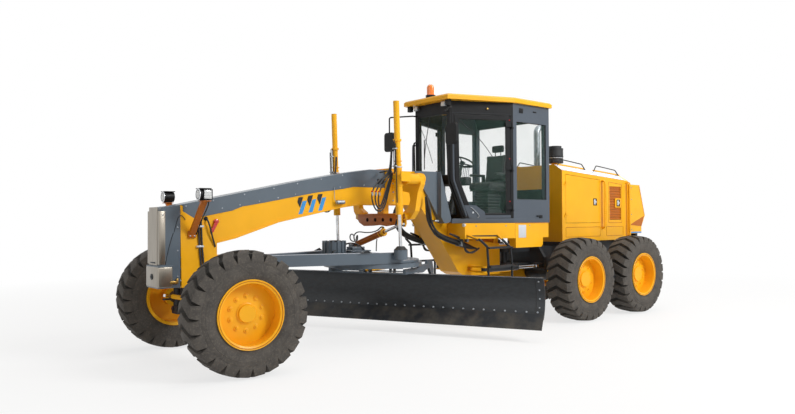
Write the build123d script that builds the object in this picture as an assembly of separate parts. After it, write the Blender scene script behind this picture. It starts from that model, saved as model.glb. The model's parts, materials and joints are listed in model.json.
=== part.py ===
from build123d import *
import os
from math import atan2, cos, degrees, hypot, radians, sin

# Motor grader, all sizes in millimetres.
# X points forward, Y to the operator's left, Z up. The origin is on the ground, below the middle of the machine.

# ---------------------------------------------------------------- driving dimensions
FRONT_AXLE_X = 3940
TANDEM_AXLES_X = (-1960, -3498)
HALF_TRACK = 1078
TYRE_R = 665
RIM_SEAT_R = 342
RIM_FLANGE_R = 361

LEAN_PIN_Y, LEAN_PIN_Z = 690, 540
LEAN_BAR_Y, LEAN_BAR_Z = 690, 830
LEAN_BAR_AHEAD = 115
KINGPIN_Y = 778
STEER_AT_REST = -6
TIE_ARM = 215
TIE_BALL_Z = 653
STEER_ARM = (170, -38)
STEER_EYE_Z = 706
STEER_BARREL_START = (116, 150)

PIVOT_X = -1330
BEAM_HALF = 160
NECK_HALF = 200

HITCH_BALL = (3610, 0, 1130)
CIRCLE_X = 1425
CIRCLE_R = 691
CIRCLE_BORE_R = 590
CIRCLE_Z = (985, 1045)
CIRCLE_TURN = 25.5
PLATE_Z = (1050, 1080)
DRIVE_X = 2085

LIFT_BALL = (1516, 722, 1177)
LIFT_TRUNNION = (1550, 722, 2200)
SHIFT_EYE = (1290, 483, 1573)
SHIFT_FOOT = (1290, -659, 1239)

BLADE_LENGTH = 4230
BLADE_SHIFT = 198
BLADE_X = -420
BLADE_Z = (290, 856)
BLADE_TIP_Z = 165
BLADE_CURVE_R = 420
BLADE_THICK = 22
TIP_HINGE = (-640, 350)
TIP_EYE = (-660, 928)
TIP_BARREL_PIN = (160, 940)

DOOR_POST = (-650, 812)
CAB_FRONT = (275, 383)
CAB_REAR_X = -1515
CAB_Z = (1571, 3395)
CAB_KNEE_Z = 2214
CAB_TOE_X = 35
CAB_WALL = 50
DOOR_GAP = 6
DOOR_THICK = 45
DOOR_HINGE = (25, 20)

CYLINDER_EYES_Z = 865
FRONT_EYE = (-320, 500)
REAR_EYE = (-1554, 500)

DECK_Z = (1536, 1571)
SKIRT_BOTTOM_Z = 1340

HOOD_X = (-2120, -4131)
HOOD_HALF = 600
HOOD_SIDE_Z = (2447, 2321)
HOOD_BOTTOM_Z = 1240
HOOD_WALL = 40
SHOULDER = (160, 103)

FIT = 0.35
GAP = 6


# ---------------------------------------------------------------- makers
def box(x, y, z):
    """Block between pairs of x, y and z values."""
    middle = Pos((x[0] + x[1]) / 2, (y[0] + y[1]) / 2, (z[0] + z[1]) / 2)
    return middle * Box(abs(x[1] - x[0]), abs(y[1] - y[0]), abs(z[1] - z[0]))


def side_plate(outline, y_low, y_high):
    """Plate from an (x, z) outline, lying between two y values."""
    wire = Polyline([(x, y_low, z) for x, z in outline], close=True)
    return extrude(make_face(wire), amount=y_high - y_low, dir=(0, 1, 0))


def top_plate(outline, z_low, z_high):
    """Plate from an (x, y) outline, lying between two z values."""
    wire = Polyline([(x, y, z_low) for x, y in outline], close=True)
    return extrude(make_face(wire), amount=z_high - z_low, dir=(0, 0, 1))


def cross_plate(outline, x_low, x_high):
    """Plate from a (y, z) outline, lying between two x values."""
    wire = Polyline([(x_low, y, z) for y, z in outline], close=True)
    return extrude(make_face(wire), amount=x_high - x_low, dir=(1, 0, 0))


def rod(start, end, radius):
    """Round bar between two points."""
    axis = Vector(*end) - Vector(*start)
    base = Plane(origin=start, z_dir=axis)
    return base * Cylinder(radius, axis.length, align=(Align.CENTER, Align.CENTER, Align.MIN))


def tube(start, end, radius, bore):
    """Round tube between two points, open at both ends."""
    return rod(start, end, radius) - rod(start, end, bore)


def pipe(points, radius, bend):
    """Bent bar of straight runs joined by arcs."""
    path = FilletPolyline(points, radius=bend)
    return sweep(Plane(origin=path @ 0, z_dir=path % 0) * Circle(radius), path=path)


def lathe(profile, centre):
    """Ring turned about the Y axis through a centre, from (radius, y) points."""
    wire = Polyline([(r, y, 0) for r, y in profile], close=True)
    ring = revolve(make_face(wire), axis=Axis.Y)
    return Pos(*centre) * ring


def mirrored(shape):
    """The same shape on the other side of the machine."""
    return mirror(shape, about=Plane.XZ)


def both_sides(shape):
    """A shape and its mirror image as one."""
    return shape + mirrored(shape)


def fused(pieces):
    """One shape from a list of touching pieces."""
    whole = pieces[0]
    for piece in pieces[1:]:
        whole = whole + piece
    return whole


def about_z(shape, x, y, angle):
    """Shape turned about an upright line through (x, y)."""
    return shape.rotate(Axis((x, y, 0), (0, 0, 1)), angle)


def turned(x, y, angle):
    """Point turned about the origin."""
    c, s = cos(radians(angle)), sin(radians(angle))
    return c * x - s * y, s * x + c * y


def on_circle(shape):
    """Shape drawn with the circle's centre as origin, set in place and turned with the circle."""
    return Pos(CIRCLE_X, 0, 0) * (Rot(0, 0, CIRCLE_TURN) * shape)


def steered(shape, side):
    """Shape drawn straight ahead, turned with the left (1) or right (-1) front wheel."""
    return about_z(shape, FRONT_AXLE_X, side * KINGPIN_Y, STEER_AT_REST)


nodes = {}


# ---------------------------------------------------------------- wheels
TREAD_LUGS = 24
LUG_WIDTH = 10.2
CHEVRON_LEAD = 8.5
# (radius, y) places of half a tyre made of flat facets; the corners of its bore stand clear of the round rim
CORNER = 1 / cos(radians(180 / TREAD_LUGS))
TREAD_MIDDLE = (TYRE_R / cos(radians(LUG_WIDTH / 2)), 0)
TREAD_EDGE = (645, 196)
GROOVE_MIDDLE = (632, 0)
SHOULDER_BASE = (588, 216)
SIDEWALL = (490, 222)
BEAD_OUTER = ((RIM_FLANGE_R + 2) * CORNER, 189)
BEAD_INNER = ((RIM_SEAT_R + 0.5) * CORNER, 189)


def facets(*points):
    """Flat face through three or more points."""
    return make_face(Polyline(points, close=True))


def tyre(x, side):
    """Tyre with chevron lugs whose middles lead upwards at its front, built of flat facets."""
    pitch = 360 / TREAD_LUGS

    def at(place, angle, across=1):
        r, y = place
        return (r * cos(radians(angle)), across * y, r * sin(radians(angle)))

    faces = []
    for k in range(TREAD_LUGS):
        start, end = -90 + k * pitch - LUG_WIDTH / 2, -90 + k * pitch + LUG_WIDTH / 2
        after = start + pitch
        for across in (1, -1):
            edge = [at(TREAD_EDGE, a - CHEVRON_LEAD, across) for a in (start, end)]
            base = [at(SHOULDER_BASE, a - CHEVRON_LEAD, across) for a in (start, end, after)]
            top = [at(TREAD_MIDDLE, a) for a in (start, end)]
            floor = [at(GROOVE_MIDDLE, a) for a in (start, end, after)]
            wall = [at(SIDEWALL, a - CHEVRON_LEAD, across) for a in (start, after)]
            outer = [at(BEAD_OUTER, a - CHEVRON_LEAD, across) for a in (start, after)]
            inner = [at(BEAD_INNER, a - CHEVRON_LEAD, across) for a in (start, after)]
            faces += [facets(top[0], top[1], edge[1]), facets(top[0], edge[1], edge[0]),
                      facets(floor[1], floor[2], base[2]), facets(floor[1], base[2], base[1]),
                      facets(top[0], edge[0], base[0]), facets(top[0], base[0], floor[0]),
                      facets(top[1], edge[1], base[1]), facets(top[1], base[1], floor[1]),
                      facets(edge[0], edge[1], base[1], base[0]),
                      facets(base[0], base[1], wall[0]), facets(base[1], base[2], wall[1]),
                      facets(base[1], wall[1], wall[0]),
                      facets(wall[0], wall[1], outer[1], outer[0]),
                      facets(outer[0], outer[1], inner[1], inner[0])]
        left, right = ([at(BEAD_INNER, a - CHEVRON_LEAD, across) for a in (start, after)] for across in (1, -1))
        faces.append(facets(left[0], left[1], right[1], right[0]))
    return Pos(x, side * HALF_TRACK, TYRE_R) * Solid(Shell(faces))


def rim(x, side, hub_r, bore_r, disc_y, hub_in):
    """Wheel rim with its dished disc and hub; disc_y and hub_in are measured outwards from the tyre's middle."""
    barrel = [(RIM_SEAT_R - 17, -200), (RIM_SEAT_R - 17, 200), (RIM_FLANGE_R - 8, 212), (RIM_FLANGE_R, 212),
              (RIM_FLANGE_R, 190), (RIM_SEAT_R, 190), (RIM_SEAT_R, -190), (RIM_FLANGE_R, -190),
              (RIM_FLANGE_R, -212), (RIM_FLANGE_R - 8, -212)]
    disc = [(bore_r, disc_y), (hub_r, disc_y), (RIM_SEAT_R - 10, disc_y - 30), (RIM_SEAT_R - 10, disc_y - 50),
            (hub_r, disc_y - 22), (hub_r, hub_in), (bore_r, hub_in)]
    cap = [(0, disc_y + 34), (hub_r - 30, disc_y + 34), (hub_r - 14, disc_y - 1), (0, disc_y - 1)]
    parts = [lathe(p, (0, 0, 0)) for p in (barrel, disc, cap)]
    wheel = fused(parts)
    if side < 0:
        wheel = mirrored(wheel)
    return Pos(x, side * HALF_TRACK, TYRE_R) * wheel


for name, side in (("left", 1), ("right", -1)):
    nodes[f"tyre_front_{name}"] = steered(tyre(FRONT_AXLE_X, side), side)
    nodes[f"rim_front_{name}"] = steered(rim(FRONT_AXLE_X, side, 120, 45 + FIT, 60, -150), side)
    for place, x in zip(("middle", "rear"), TANDEM_AXLES_X):
        nodes[f"tyre_{place}_{name}"] = tyre(x, side)
        nodes[f"rim_{place}_{name}"] = rim(x, side, 150, 60 + FIT, 60, -150)


# ---------------------------------------------------------------- front axle
def front_axle():
    """Oscillating axle beam with lean pins, steering cylinder barrels and brackets."""
    half = [(620, 480), (620, 596), (300, 684), (110, 780)]
    beam = cross_plate(half + [(-y, z) for y, z in reversed(half)], FRONT_AXLE_X - 65, FRONT_AXLE_X + 65)
    boss = rod((FRONT_AXLE_X - 50, 0, 790), (FRONT_AXLE_X + 50, 0, 790), 85)
    relief = box((FRONT_AXLE_X - 90, FRONT_AXLE_X - 50), (-125, 125), (680, 900))
    relief += box((FRONT_AXLE_X + 50, FRONT_AXLE_X + 90), (-125, 125), (680, 900))
    pin_bore = rod((FRONT_AXLE_X - 60, 0, 790), (FRONT_AXLE_X + 60, 0, 790), 35 + FIT)
    axle = beam + boss - relief - pin_bore
    for side in (1, -1):
        for near, far in ((62, 100), (-100, -62)):
            outline = [(side * 560, 482), (side * 725, 482), (side * 735, 540), (side * 718, 574), (side * 560, 574)]
            axle += cross_plate(outline, FRONT_AXLE_X + near, FRONT_AXLE_X + far)
        axle += rod((FRONT_AXLE_X - 112, side * LEAN_PIN_Y, LEAN_PIN_Z),
                    (FRONT_AXLE_X + 112, side * LEAN_PIN_Y, LEAN_PIN_Z), 25)
        for z in (STEER_EYE_Z - 36, STEER_EYE_Z + 22):
            x, y = FRONT_AXLE_X + STEER_BARREL_START[0], side * STEER_BARREL_START[1]
            axle += box((FRONT_AXLE_X + 50, x), (y - 24, y + 24), (z, z + 14)) + rod((x, y, z), (x, y, z + 14), 24)
        axle += rod((x, y, STEER_EYE_Z - 36), (x, y, STEER_EYE_Z + 36), 12)
    return axle


def steer_ball(side):
    """Place of the steering rod's ball on the knuckle's front arm."""
    ahead, outward = STEER_ARM
    x, y = turned(ahead, side * outward, STEER_AT_REST)
    return FRONT_AXLE_X + x, side * KINGPIN_Y + y


def steering_line(side, distance):
    """Point on the steering cylinder's axis, at a distance from its inner end."""
    start = (FRONT_AXLE_X + STEER_BARREL_START[0], side * STEER_BARREL_START[1])
    ball = steer_ball(side)
    length = hypot(ball[0] - start[0], ball[1] - start[1])
    share = distance / length
    return start[0] + (ball[0] - start[0]) * share, start[1] + (ball[1] - start[1]) * share, STEER_EYE_Z


def steering_barrel(side):
    x, y, z = steering_line(side, 0)
    shell = rod(steering_line(side, 40), steering_line(side, 405), 28)
    shell += rod(steering_line(side, 18), steering_line(side, 50), 16)
    shell += rod((x, y, z - 16), (x, y, z + 16), 26) - rod((x, y, z - 20), (x, y, z + 20), 12 + FIT)
    return shell - rod(steering_line(side, 62), steering_line(side, 415), 16 + FIT)


def steering_rod(side):
    ball = steer_ball(side)
    start = steering_line(side, 0)
    reach = hypot(ball[0] - start[0], ball[1] - start[1])
    shaft = rod(steering_line(side, 222), steering_line(side, reach - 20), 16)
    return shaft + rod((ball[0], ball[1], STEER_EYE_Z - 16), (ball[0], ball[1], STEER_EYE_Z + 16), 30)


def lean_yoke(side):
    """Upright that leans on the axle's end and carries the kingpin."""
    x = FRONT_AXLE_X
    y = side * KINGPIN_Y
    foot = [(640, 540), (656, 500), (700, 488), (778, 490), (778, 560), (716, 560), (712, 582), (655, 582)]
    yoke = cross_plate([(side * a, z) for a, z in foot], x - 56, x + 56)
    yoke += box((x - 25, x + 8), (side * 655, side * 704), (570, 820))
    yoke += box((x - 45, x + 45), (side * 655, y), (806, 855))
    yoke += rod((x, y, 806), (x, y, 855), 60) + rod((x, y, 490), (x, y, 560), 60)
    yoke += rod((x, y, 495), (x, y, 850), 26)
    yoke += rod((x + 40, side * LEAN_BAR_Y, LEAN_BAR_Z), (x + 145, side * LEAN_BAR_Y, LEAN_BAR_Z), 14)
    return yoke - rod((x - 70, side * LEAN_PIN_Y, LEAN_PIN_Z), (x + 70, side * LEAN_PIN_Y, LEAN_PIN_Z), 25 + FIT)


def knuckle(side):
    """Steering knuckle: kingpin barrel, wheel spindle, tie rod arm behind and cylinder arm ahead."""
    x = FRONT_AXLE_X
    y = side * KINGPIN_Y
    barrel = rod((x, y, 566), (x, y, 800), 56)
    spindle = rod((x, y + side * 20, TYRE_R), (x, side * (HALF_TRACK + 50), TYRE_R), 45)
    shoulder = rod((x, y + side * 20, TYRE_R), (x, side * (HALF_TRACK - 160), TYRE_R), 75)
    low, high = TIE_BALL_Z - 55, TIE_BALL_Z - 35
    behind = box((x - TIE_ARM, x), (y - 24, y + 24), (low, high)) + rod((x - TIE_ARM, y, low), (x - TIE_ARM, y, high), 32)
    if side > 0:
        behind -= rod((x - TIE_ARM, y, low - 5), (x - TIE_ARM, y, high + 5), 14 + FIT)
    else:
        behind += rod((x - TIE_ARM, y, low + 5), (x - TIE_ARM, y, TIE_BALL_Z + 14), 12)
    ahead, outward = STEER_ARM
    ball = (x + ahead, y + side * outward)
    arm = top_plate([(x, y - 26), (ball[0], ball[1] - 26), (ball[0], ball[1] + 26), (x, y + 26)], 646, 664)
    arm += rod((*ball, 646), (*ball, 664), 30)
    bore = rod((x, y, 560), (x, y, 810), 26 + FIT)
    return steered(barrel + spindle + shoulder + arm - bore + (behind - bore), side)


def tie_ball(side):
    x, y = turned(-TIE_ARM, 0, STEER_AT_REST)
    return FRONT_AXLE_X + x, side * KINGPIN_Y + y


def tie_rod_end():
    """Swivel block on the left knuckle's rear arm."""
    x, y = tie_ball(1)
    stud = rod((x, y, TIE_BALL_Z - 61), (x, y, TIE_BALL_Z - 11), 14)
    block = box((x - 14, x + 14), (y - 18, y + 18), (TIE_BALL_Z - 17, TIE_BALL_Z + 17))
    bore = rod((x - 20, y, TIE_BALL_Z), (x + 20, y, TIE_BALL_Z), 8 + FIT)
    return stud + block - bore


def tie_rod():
    """Bar between the rear arms: fork on the left swivel block, eye over the right arm."""
    x, y = tie_ball(1)
    right_x, right_y = tie_ball(-1)
    low, high = TIE_BALL_Z - 12, TIE_BALL_Z + 15
    fork = box((x - 27, x + 27), (y - 62, y + 15), (low, high))
    fork -= box((x - 15, x + 15), (y - 40, y + 30), (low - 10, high + 10))
    pin = rod((x - 27, y, TIE_BALL_Z), (x + 27, y, TIE_BALL_Z), 8)
    shaft = rod((x, y - 50, TIE_BALL_Z), (right_x, right_y + 20, TIE_BALL_Z), 16)
    eye = rod((right_x, right_y, TIE_BALL_Z - 12), (right_x, right_y, TIE_BALL_Z + 12), 36)
    return fork + pin + shaft + eye - rod((right_x, right_y, low - 10), (right_x, right_y, high + 10), 27)


def lean_bar():
    x = FRONT_AXLE_X + LEAN_BAR_AHEAD
    bar = rod((x, -LEAN_BAR_Y, LEAN_BAR_Z), (x, LEAN_BAR_Y, LEAN_BAR_Z), 20)
    for y in (-LEAN_BAR_Y, LEAN_BAR_Y):
        bar += rod((x - 18, y, LEAN_BAR_Z), (x + 18, y, LEAN_BAR_Z), 30)
    for y in (-LEAN_BAR_Y, LEAN_BAR_Y):
        bar -= rod((x - 60, y, LEAN_BAR_Z), (x + 60, y, LEAN_BAR_Z), 14 + FIT)
    return bar


nodes["front_axle"] = front_axle()
nodes["lean_bar"] = lean_bar()
nodes["tie_rod_end"] = tie_rod_end()
nodes["tie_rod"] = tie_rod()
for name, side in (("left", 1), ("right", -1)):
    nodes[f"lean_yoke_{name}"] = lean_yoke(side)
    nodes[f"knuckle_{name}"] = knuckle(side)
    nodes[f"steering_barrel_{name}"] = steering_barrel(side)
    nodes[f"steering_rod_{name}"] = steering_rod(side)


# ---------------------------------------------------------------- front frame
# (x, z) of the arched beam: along its top from the nose, then back along its bottom
BEAM = [(4300, 1812), (2718, 2130), (2016, 2259), (1589, 2324), (330, 2334), (330, 1846),
        (1737, 1847), (2065, 1806), (3030, 1616), (3614, 1430), (3855, 1379), (3855, 1300), (4290, 1300)]
# (x, z) of the gooseneck that drops below the cab floor
NECK = [(721, 1846), (332, 1367), (-74, 822), (-190, 765), (-324, 750), (-1010, 750), (-1010, 1240), (-330, 1300),
        (-60, 1340), (100, 1640), (285, 2060), (305, 2330), (721, 2330)]


def front_frame():
    """Beam, gooseneck, leg over the axle, hinge plates, drawbar socket and cylinder brackets."""
    beam = side_plate(BEAM, -BEAM_HALF, BEAM_HALF)
    neck = side_plate(NECK, -NECK_HALF, NECK_HALF)
    leg = side_plate([(3855, 1500), (3855, 880), (4281, 880), (4297, 1620), (4297, 1760)], -170, 170)
    frame = beam + neck + leg
    for x in (FRONT_AXLE_X - 85, FRONT_AXLE_X + 55):
        frame += cross_plate([(-110, 885), (-110, 740), (-60, 700), (60, 700), (110, 740), (110, 885)], x, x + 30)
    frame += rod((FRONT_AXLE_X - 85, 0, 790), (FRONT_AXLE_X + 85, 0, 790), 35)
    socket = box((HITCH_BALL[0] - 10, 3860), (-95, 95), (HITCH_BALL[2] - 95, HITCH_BALL[2] + 95))
    frame += socket - Pos(*HITCH_BALL) * Sphere(66)
    for z_low, z_high in ((770, 830), (1150, 1210)):
        plate = top_plate([(-990, 200), (PIVOT_X, 170), (PIVOT_X, -170), (-990, -200)], z_low, z_high)
        plate += rod((PIVOT_X, 0, z_low), (PIVOT_X, 0, z_high), 170)
        frame += plate - rod((PIVOT_X, 0, z_low - 5), (PIVOT_X, 0, z_high + 5), 55 + FIT)
    for x in (-500, -1000):
        frame += box((x, x + 100), (-170, 170), (1200, DECK_Z[0]))
    for side in (1, -1):
        frame += front_bracket(side)
    return frame


def front_bracket(side, with_pin=True):
    """Pair of lugs above and below a cylinder's eye, reaching out sideways."""
    bracket = None
    x, y = FRONT_EYE[0], side * FRONT_EYE[1]
    for z_low in (CYLINDER_EYES_Z - 48, CYLINDER_EYES_Z + 26):
        lug = box((x - 45, x + 45), (side * 190, y), (z_low, z_low + 22)) + rod((x, y, z_low), (x, y, z_low + 22), 45)
        bracket = lug if bracket is None else bracket + lug
    if with_pin:
        bracket += rod((x, y, CYLINDER_EYES_Z - 48), (x, y, CYLINDER_EYES_Z + 48), 20)
    return bracket


def nose_cowl():
    """Upright cowl on the nose, its front corners rounded, with the thicker plate low down."""
    body = side_plate([(4299, 1640), (4299, 885), (4535, 885), (4541, 1700), (4500, 1790), (4302, 1812)], -176, 176)
    corners = [edge for edge in body.edges() if edge.center().X > 4490 and abs(edge.center().Y) > 170]
    body = fillet(corners, 38)
    return body + fillet(box((4400, 4552), (-182, 182), (885, 1130)).edges().filter_by(Axis.Z).sort_by(Axis.X)[-2:], 20)


nodes["front_frame"] = front_frame()


# ---------------------------------------------------------------- lift saddle and cylinders
# (y, z) of the left lift arm, a bellcrank between the saddle, the cylinder's boss and the link bar
LIFT_ARM = [(230, 2060), (230, 2250), (640, 2262), (745, 2262), (815, 2220), (815, 2110), (760, 2010), (728, 1880),
            (700, 1750), (600, 1640), (520, 1625), (455, 1660), (455, 1740), (560, 1800), (600, 1900), (580, 2000)]


def lift_saddle():
    """Clamp on the beam with two lift arms, cylinder yokes and the link bar with its lock-pin housing."""
    half = box((1090, 1330), (160.5, 232), (1850, 2335)) + cross_plate(LIFT_ARM, 1160, 1240)
    half += rod((1150, 745, 2180), (1450, 745, 2180), 72)
    half += box((1440, 1470), (600, 844), (2135, 2265))
    x, y, z = LIFT_TRUNNION
    for start in (600, 822):
        half += box((1440, 1600), (start, start + 22), (2135, 2265)) - rod((x, start - 5, z), (x, start + 27, z), 20 + FIT)
    half += rod((1160, 520, 1680), (1300, 520, 1680), 50)
    saddle = both_sides(half)
    bar = box((1240, 1285), (-520, 520), (1640, 1720))
    for y in (-400, -200, 0, 200, 400):
        bar -= rod((1230, y, 1665), (1295, y, 1665), 20)
    saddle += bar
    saddle += box((1190, 1285), (-70, 70), (1715, 1840))
    saddle += box((1090, 1330), (-240, 240), (2332, 2350))
    x, y, z = SHIFT_EYE
    cheek = [(y - 35, 1690), (y - 45, z), (y - 20, z - 40), (y + 20, z - 40), (y + 45, z), (y + 35, 1690)]
    for near in (28, -50):
        saddle += cross_plate(cheek, x + near, x + near + 22)
    saddle += box((1240, x + 50), (y - 30, y + 30), (1640, 1700))
    saddle += rod((x - 50, y, z), (x + 50, y, z), 18)
    return saddle


def along(start, end, distance):
    """Point on the line from start towards end."""
    line = Vector(*end) - Vector(*start)
    point = Vector(*start) + line.normalized() * distance
    return point.X, point.Y, point.Z


def lift_axis(distance):
    """Point on the left lift cylinder's axis, measured down from its trunnion."""
    return along(LIFT_TRUNNION, LIFT_BALL, distance)


def lift_barrel():
    top, neck, foot = -1003, -130, 501
    shell = rod(lift_axis(neck), lift_axis(foot), 50) + rod(lift_axis(top), lift_axis(neck), 40)
    shell += rod(lift_axis(neck - 40), lift_axis(neck), 47)
    x, y, z = LIFT_TRUNNION
    shell += rod((x, y - 92, z), (x, y + 92, z), 32) + rod((x, y - 122, z), (x, y + 122, z), 20)
    return shell - rod(lift_axis(top + 20), lift_axis(foot + 5), 22 + FIT)


def lift_rod():
    length = (Vector(*LIFT_BALL) - Vector(*LIFT_TRUNNION)).length
    shaft = rod(lift_axis(-330), lift_axis(length), 22)
    return shaft + Pos(*LIFT_BALL) * Sphere(38)


def centre_shift_rod():
    """Rod hung from the link bar by its eye."""
    x, y, z = SHIFT_EYE
    eye = rod((x - 22, y, z), (x + 22, y, z), 36)
    shaft = rod(SHIFT_EYE, along(SHIFT_EYE, SHIFT_FOOT, 780), 20)
    return shaft + eye - rod((x - 30, y, z), (x + 30, y, z), 18 + FIT)


def centre_shift_barrel():
    """Barrel that runs down to the drawbar."""
    length = (Vector(*SHIFT_FOOT) - Vector(*SHIFT_EYE)).length
    shell = rod(along(SHIFT_EYE, SHIFT_FOOT, 415), along(SHIFT_EYE, SHIFT_FOOT, length - 140), 45)
    x, y, z = SHIFT_FOOT
    foot = rod((x - 18, y, z), (x + 18, y, z), 36) + rod(SHIFT_FOOT, along(SHIFT_FOOT, SHIFT_EYE, 150), 24)
    bore = rod(along(SHIFT_EYE, SHIFT_FOOT, 400), along(SHIFT_EYE, SHIFT_FOOT, length - 165), 20 + FIT)
    return shell + foot - bore


nodes["lift_saddle"] = lift_saddle()
nodes["lift_barrel_left"] = lift_barrel()
nodes["lift_barrel_right"] = mirrored(nodes["lift_barrel_left"])
nodes["lift_rod_left"] = lift_rod()
nodes["lift_rod_right"] = mirrored(nodes["lift_rod_left"])
nodes["centre_shift_rod"] = centre_shift_rod()
nodes["centre_shift_barrel"] = centre_shift_barrel()


# ---------------------------------------------------------------- drawbar and circle
def drawbar():
    """A-frame from the hitch ball to the lift balls, with the circle's plate, shoes and drive."""
    z_low, z_high = PLATE_Z
    ring = rod((CIRCLE_X, 0, z_low), (CIRCLE_X, 0, z_high), 650)
    deck = top_plate([(2500, 330), (1700, 600), (1700, -600), (2500, -330)], z_low, z_high)
    frame = ring + deck - rod((CIRCLE_X, 0, z_low - 5), (CIRCLE_X, 0, z_high + 5), 430)
    arm = top_plate([(3540, 60), (1620, 650), (1420, 650), (1420, 540), (1640, 540), (3540, -40)], z_low, 1195)
    frame += both_sides(arm)
    frame += box((1400, 1520), (-640, 640), (z_low, 1170))
    x, y, z = LIFT_BALL
    cup = rod((x, y, z - 72), (x, y, z + 58), 92) + box((1440, 1600), (600, 690), (z - 72, z - 20))
    frame += both_sides(cup) - both_sides(rod((x, y, z - 52), (x, y, z + 70), 76))
    frame += Pos(*HITCH_BALL) * Sphere(60) + rod(HITCH_BALL, (3480, 0, HITCH_BALL[2]), 42)
    frame += rod((DRIVE_X, 0, z_low), (DRIVE_X, 0, 1336), 148)
    for k in range(14):
        rib = box((136, 162), (-15, 15), (1110, 1353))
        frame += Pos(DRIVE_X, 0, 0) * (Rot(0, 0, 360 / 14 * k) * rib)
    frame += rod((DRIVE_X, 130, 1130), (DRIVE_X + 290, 130, 1130), 46) + box((DRIVE_X - 60, DRIVE_X + 250), (90, 170), (z_high - 1, 1130))
    frame += rod((1945, 0, CIRCLE_Z[0]), (1945, 0, 1100), 60)
    for k in range(6):
        shoe = box((540, 583), (-45, 45), (968, z_low + 5)) + box((560, 605), (-45, 45), (968, 979))
        frame += Pos(CIRCLE_X, 0, 0) * (Rot(0, 0, 30 + 60 * k) * shoe)
    x, y, z = SHIFT_FOOT
    for near, far in ((30, 52), (-92, -70)):
        frame += cross_plate([(-700, z + 30), (-700, 1060), (-540, 1060), (-590, z + 30)], x + near, x + far)
    return frame


def circle():
    """Toothed ring with two blade arms, their cross beam and the tip cylinder's barrel."""
    z_low, z_high = CIRCLE_Z
    ring = rod((0, 0, z_low), (0, 0, z_high), CIRCLE_R) - rod((0, 0, z_low - 5), (0, 0, z_high + 5), CIRCLE_BORE_R)
    outline = [(-250, 990), (-250, 880), (-430, 880), (-520, 905), (-640, 925), (-740, 800), (-735, 440), (-690, 405), (-600, 385), (-590, 350),
               (-600, 310), (-650, 296), (-720, 310), (-810, 420), (-810, 900), (-760, 1020), (-680, 1040),
               (-580, 1040), (-560, 990)]
    arms = both_sides(side_plate(outline, 560, 600))
    x, z = TIP_BARREL_PIN
    beam = box((-400, -340), (-600, 600), (876, 890)) + box((x - 80, x + 50), (-600, 600), (890, 906))
    beam += both_sides(box((-260, x + 50), (560, 600), (890, 960)))
    for y in (30, -50):
        beam += side_plate([(x - 40, 900), (x - 25, z + 22), (x + 25, z + 22), (x + 40, 900)], y, y + 20)
    beam += rod((x, -50, z), (x, 50, z), 14)
    pins = both_sides(rod((TIP_HINGE[0], 490, TIP_HINGE[1]), (TIP_HINGE[0], 606, TIP_HINGE[1]), 24))
    return on_circle(ring + arms + beam + pins)


def tip_barrel():
    x, z = TIP_BARREL_PIN
    start, end = (x, 0, z), (TIP_EYE[0], 0, TIP_EYE[1])
    shell = rod(along(start, end, 22), along(start, end, 560), 27) + rod((x, -24, z), (x, 24, z), 26)
    shell -= rod((x, -30, z), (x, 30, z), 14 + FIT)
    return on_circle(shell - rod(along(start, end, 50), along(start, end, 570), 15 + FIT))


def tip_rod():
    x, z = TIP_BARREL_PIN
    start, end = (x, 0, z), (TIP_EYE[0], 0, TIP_EYE[1])
    eye = rod((end[0], -16, end[2]), (end[0], 16, end[2]), 28)
    return on_circle(rod(along(start, end, 262), end, 15) + eye)


def blade_carrier():
    """Tilting carrier behind the blade: two jaws on the blade's rails, cross tube and side-shift barrel."""
    x, z = TIP_HINGE
    jaw = [(x + 36, z - 34), (x - 10, z - 48), (x - 48, z), (x - 46, 700), (x - 10, 775), (-530, 775), (-530, 742),
           (-596, 742), (-596, 660), (-562, 650), (-562, 430), (-590, 420), (-590, 340), (-525, 340), (-525, 312)]
    half = side_plate(jaw, 500, 548) - rod((x, 480, z), (x, 610, z), 24 + FIT)
    carrier = both_sides(half) + rod((-600, -520, 560), (-600, 520, 560), 32)
    lug = [(-575, 545), (-630, 545), (TIP_EYE[0] - 34, TIP_EYE[1]), (TIP_EYE[0] - 20, TIP_EYE[1] + 26),
           (TIP_EYE[0] + 20, TIP_EYE[1] + 26), (TIP_EYE[0] + 34, TIP_EYE[1])]
    for y in (24, -42):
        carrier += side_plate(lug, y, y + 18)
    carrier += rod((-625, -670, 470), (-625, 552, 470), 36)
    return on_circle(carrier - rod((-625, -650, 470), (-625, 560, 470), 18 + FIT))


def blade_section(z_low, z_high):
    """Curved (x, z) outline of the moldboard's plate, hollow side forward."""
    middle_z = (BLADE_Z[0] + BLADE_Z[1]) / 2
    half_chord = (BLADE_Z[1] - BLADE_Z[0]) / 2
    centre_x = BLADE_X + (BLADE_CURVE_R ** 2 - half_chord ** 2) ** 0.5

    def at(radius, z):
        return centre_x - (radius ** 2 - (z - middle_z) ** 2) ** 0.5, z

    between = (z_low + z_high) / 2
    front = [at(BLADE_CURVE_R, z) for z in (z_low, between, z_high)]
    back = [at(BLADE_CURVE_R + BLADE_THICK, z) for z in (z_high, between, z_low)]
    return front, back


def moldboard():
    """Curved blade with two rails, a lug and the side-shift rod behind."""
    low, high = -BLADE_LENGTH / 2, BLADE_LENGTH / 2
    front, back = blade_section(*BLADE_Z)
    points = [[(x, low, z) for x, z in side] for side in (front, back)]
    edges = [ThreePointArc(*points[0]), Line(points[0][2], points[1][0]), ThreePointArc(*points[1]),
             Line(points[1][2], points[0][0])]
    blade = extrude(make_face(Wire(edges)), amount=BLADE_LENGTH, dir=(0, 1, 0))
    for z, x_in in ((700, -520), (380, -495)):
        blade += box((-582, x_in), (-1800, 1800), (z - 18, z + 18))
    lug_y = 1222
    blade += box((-660, -528), (lug_y, lug_y + 40), (446, 506))
    blade += rod((-625, lug_y + 5, 470), (-625, lug_y - 1198, 470), 18)
    return on_circle(Pos(0, BLADE_SHIFT, 0) * blade)


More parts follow.
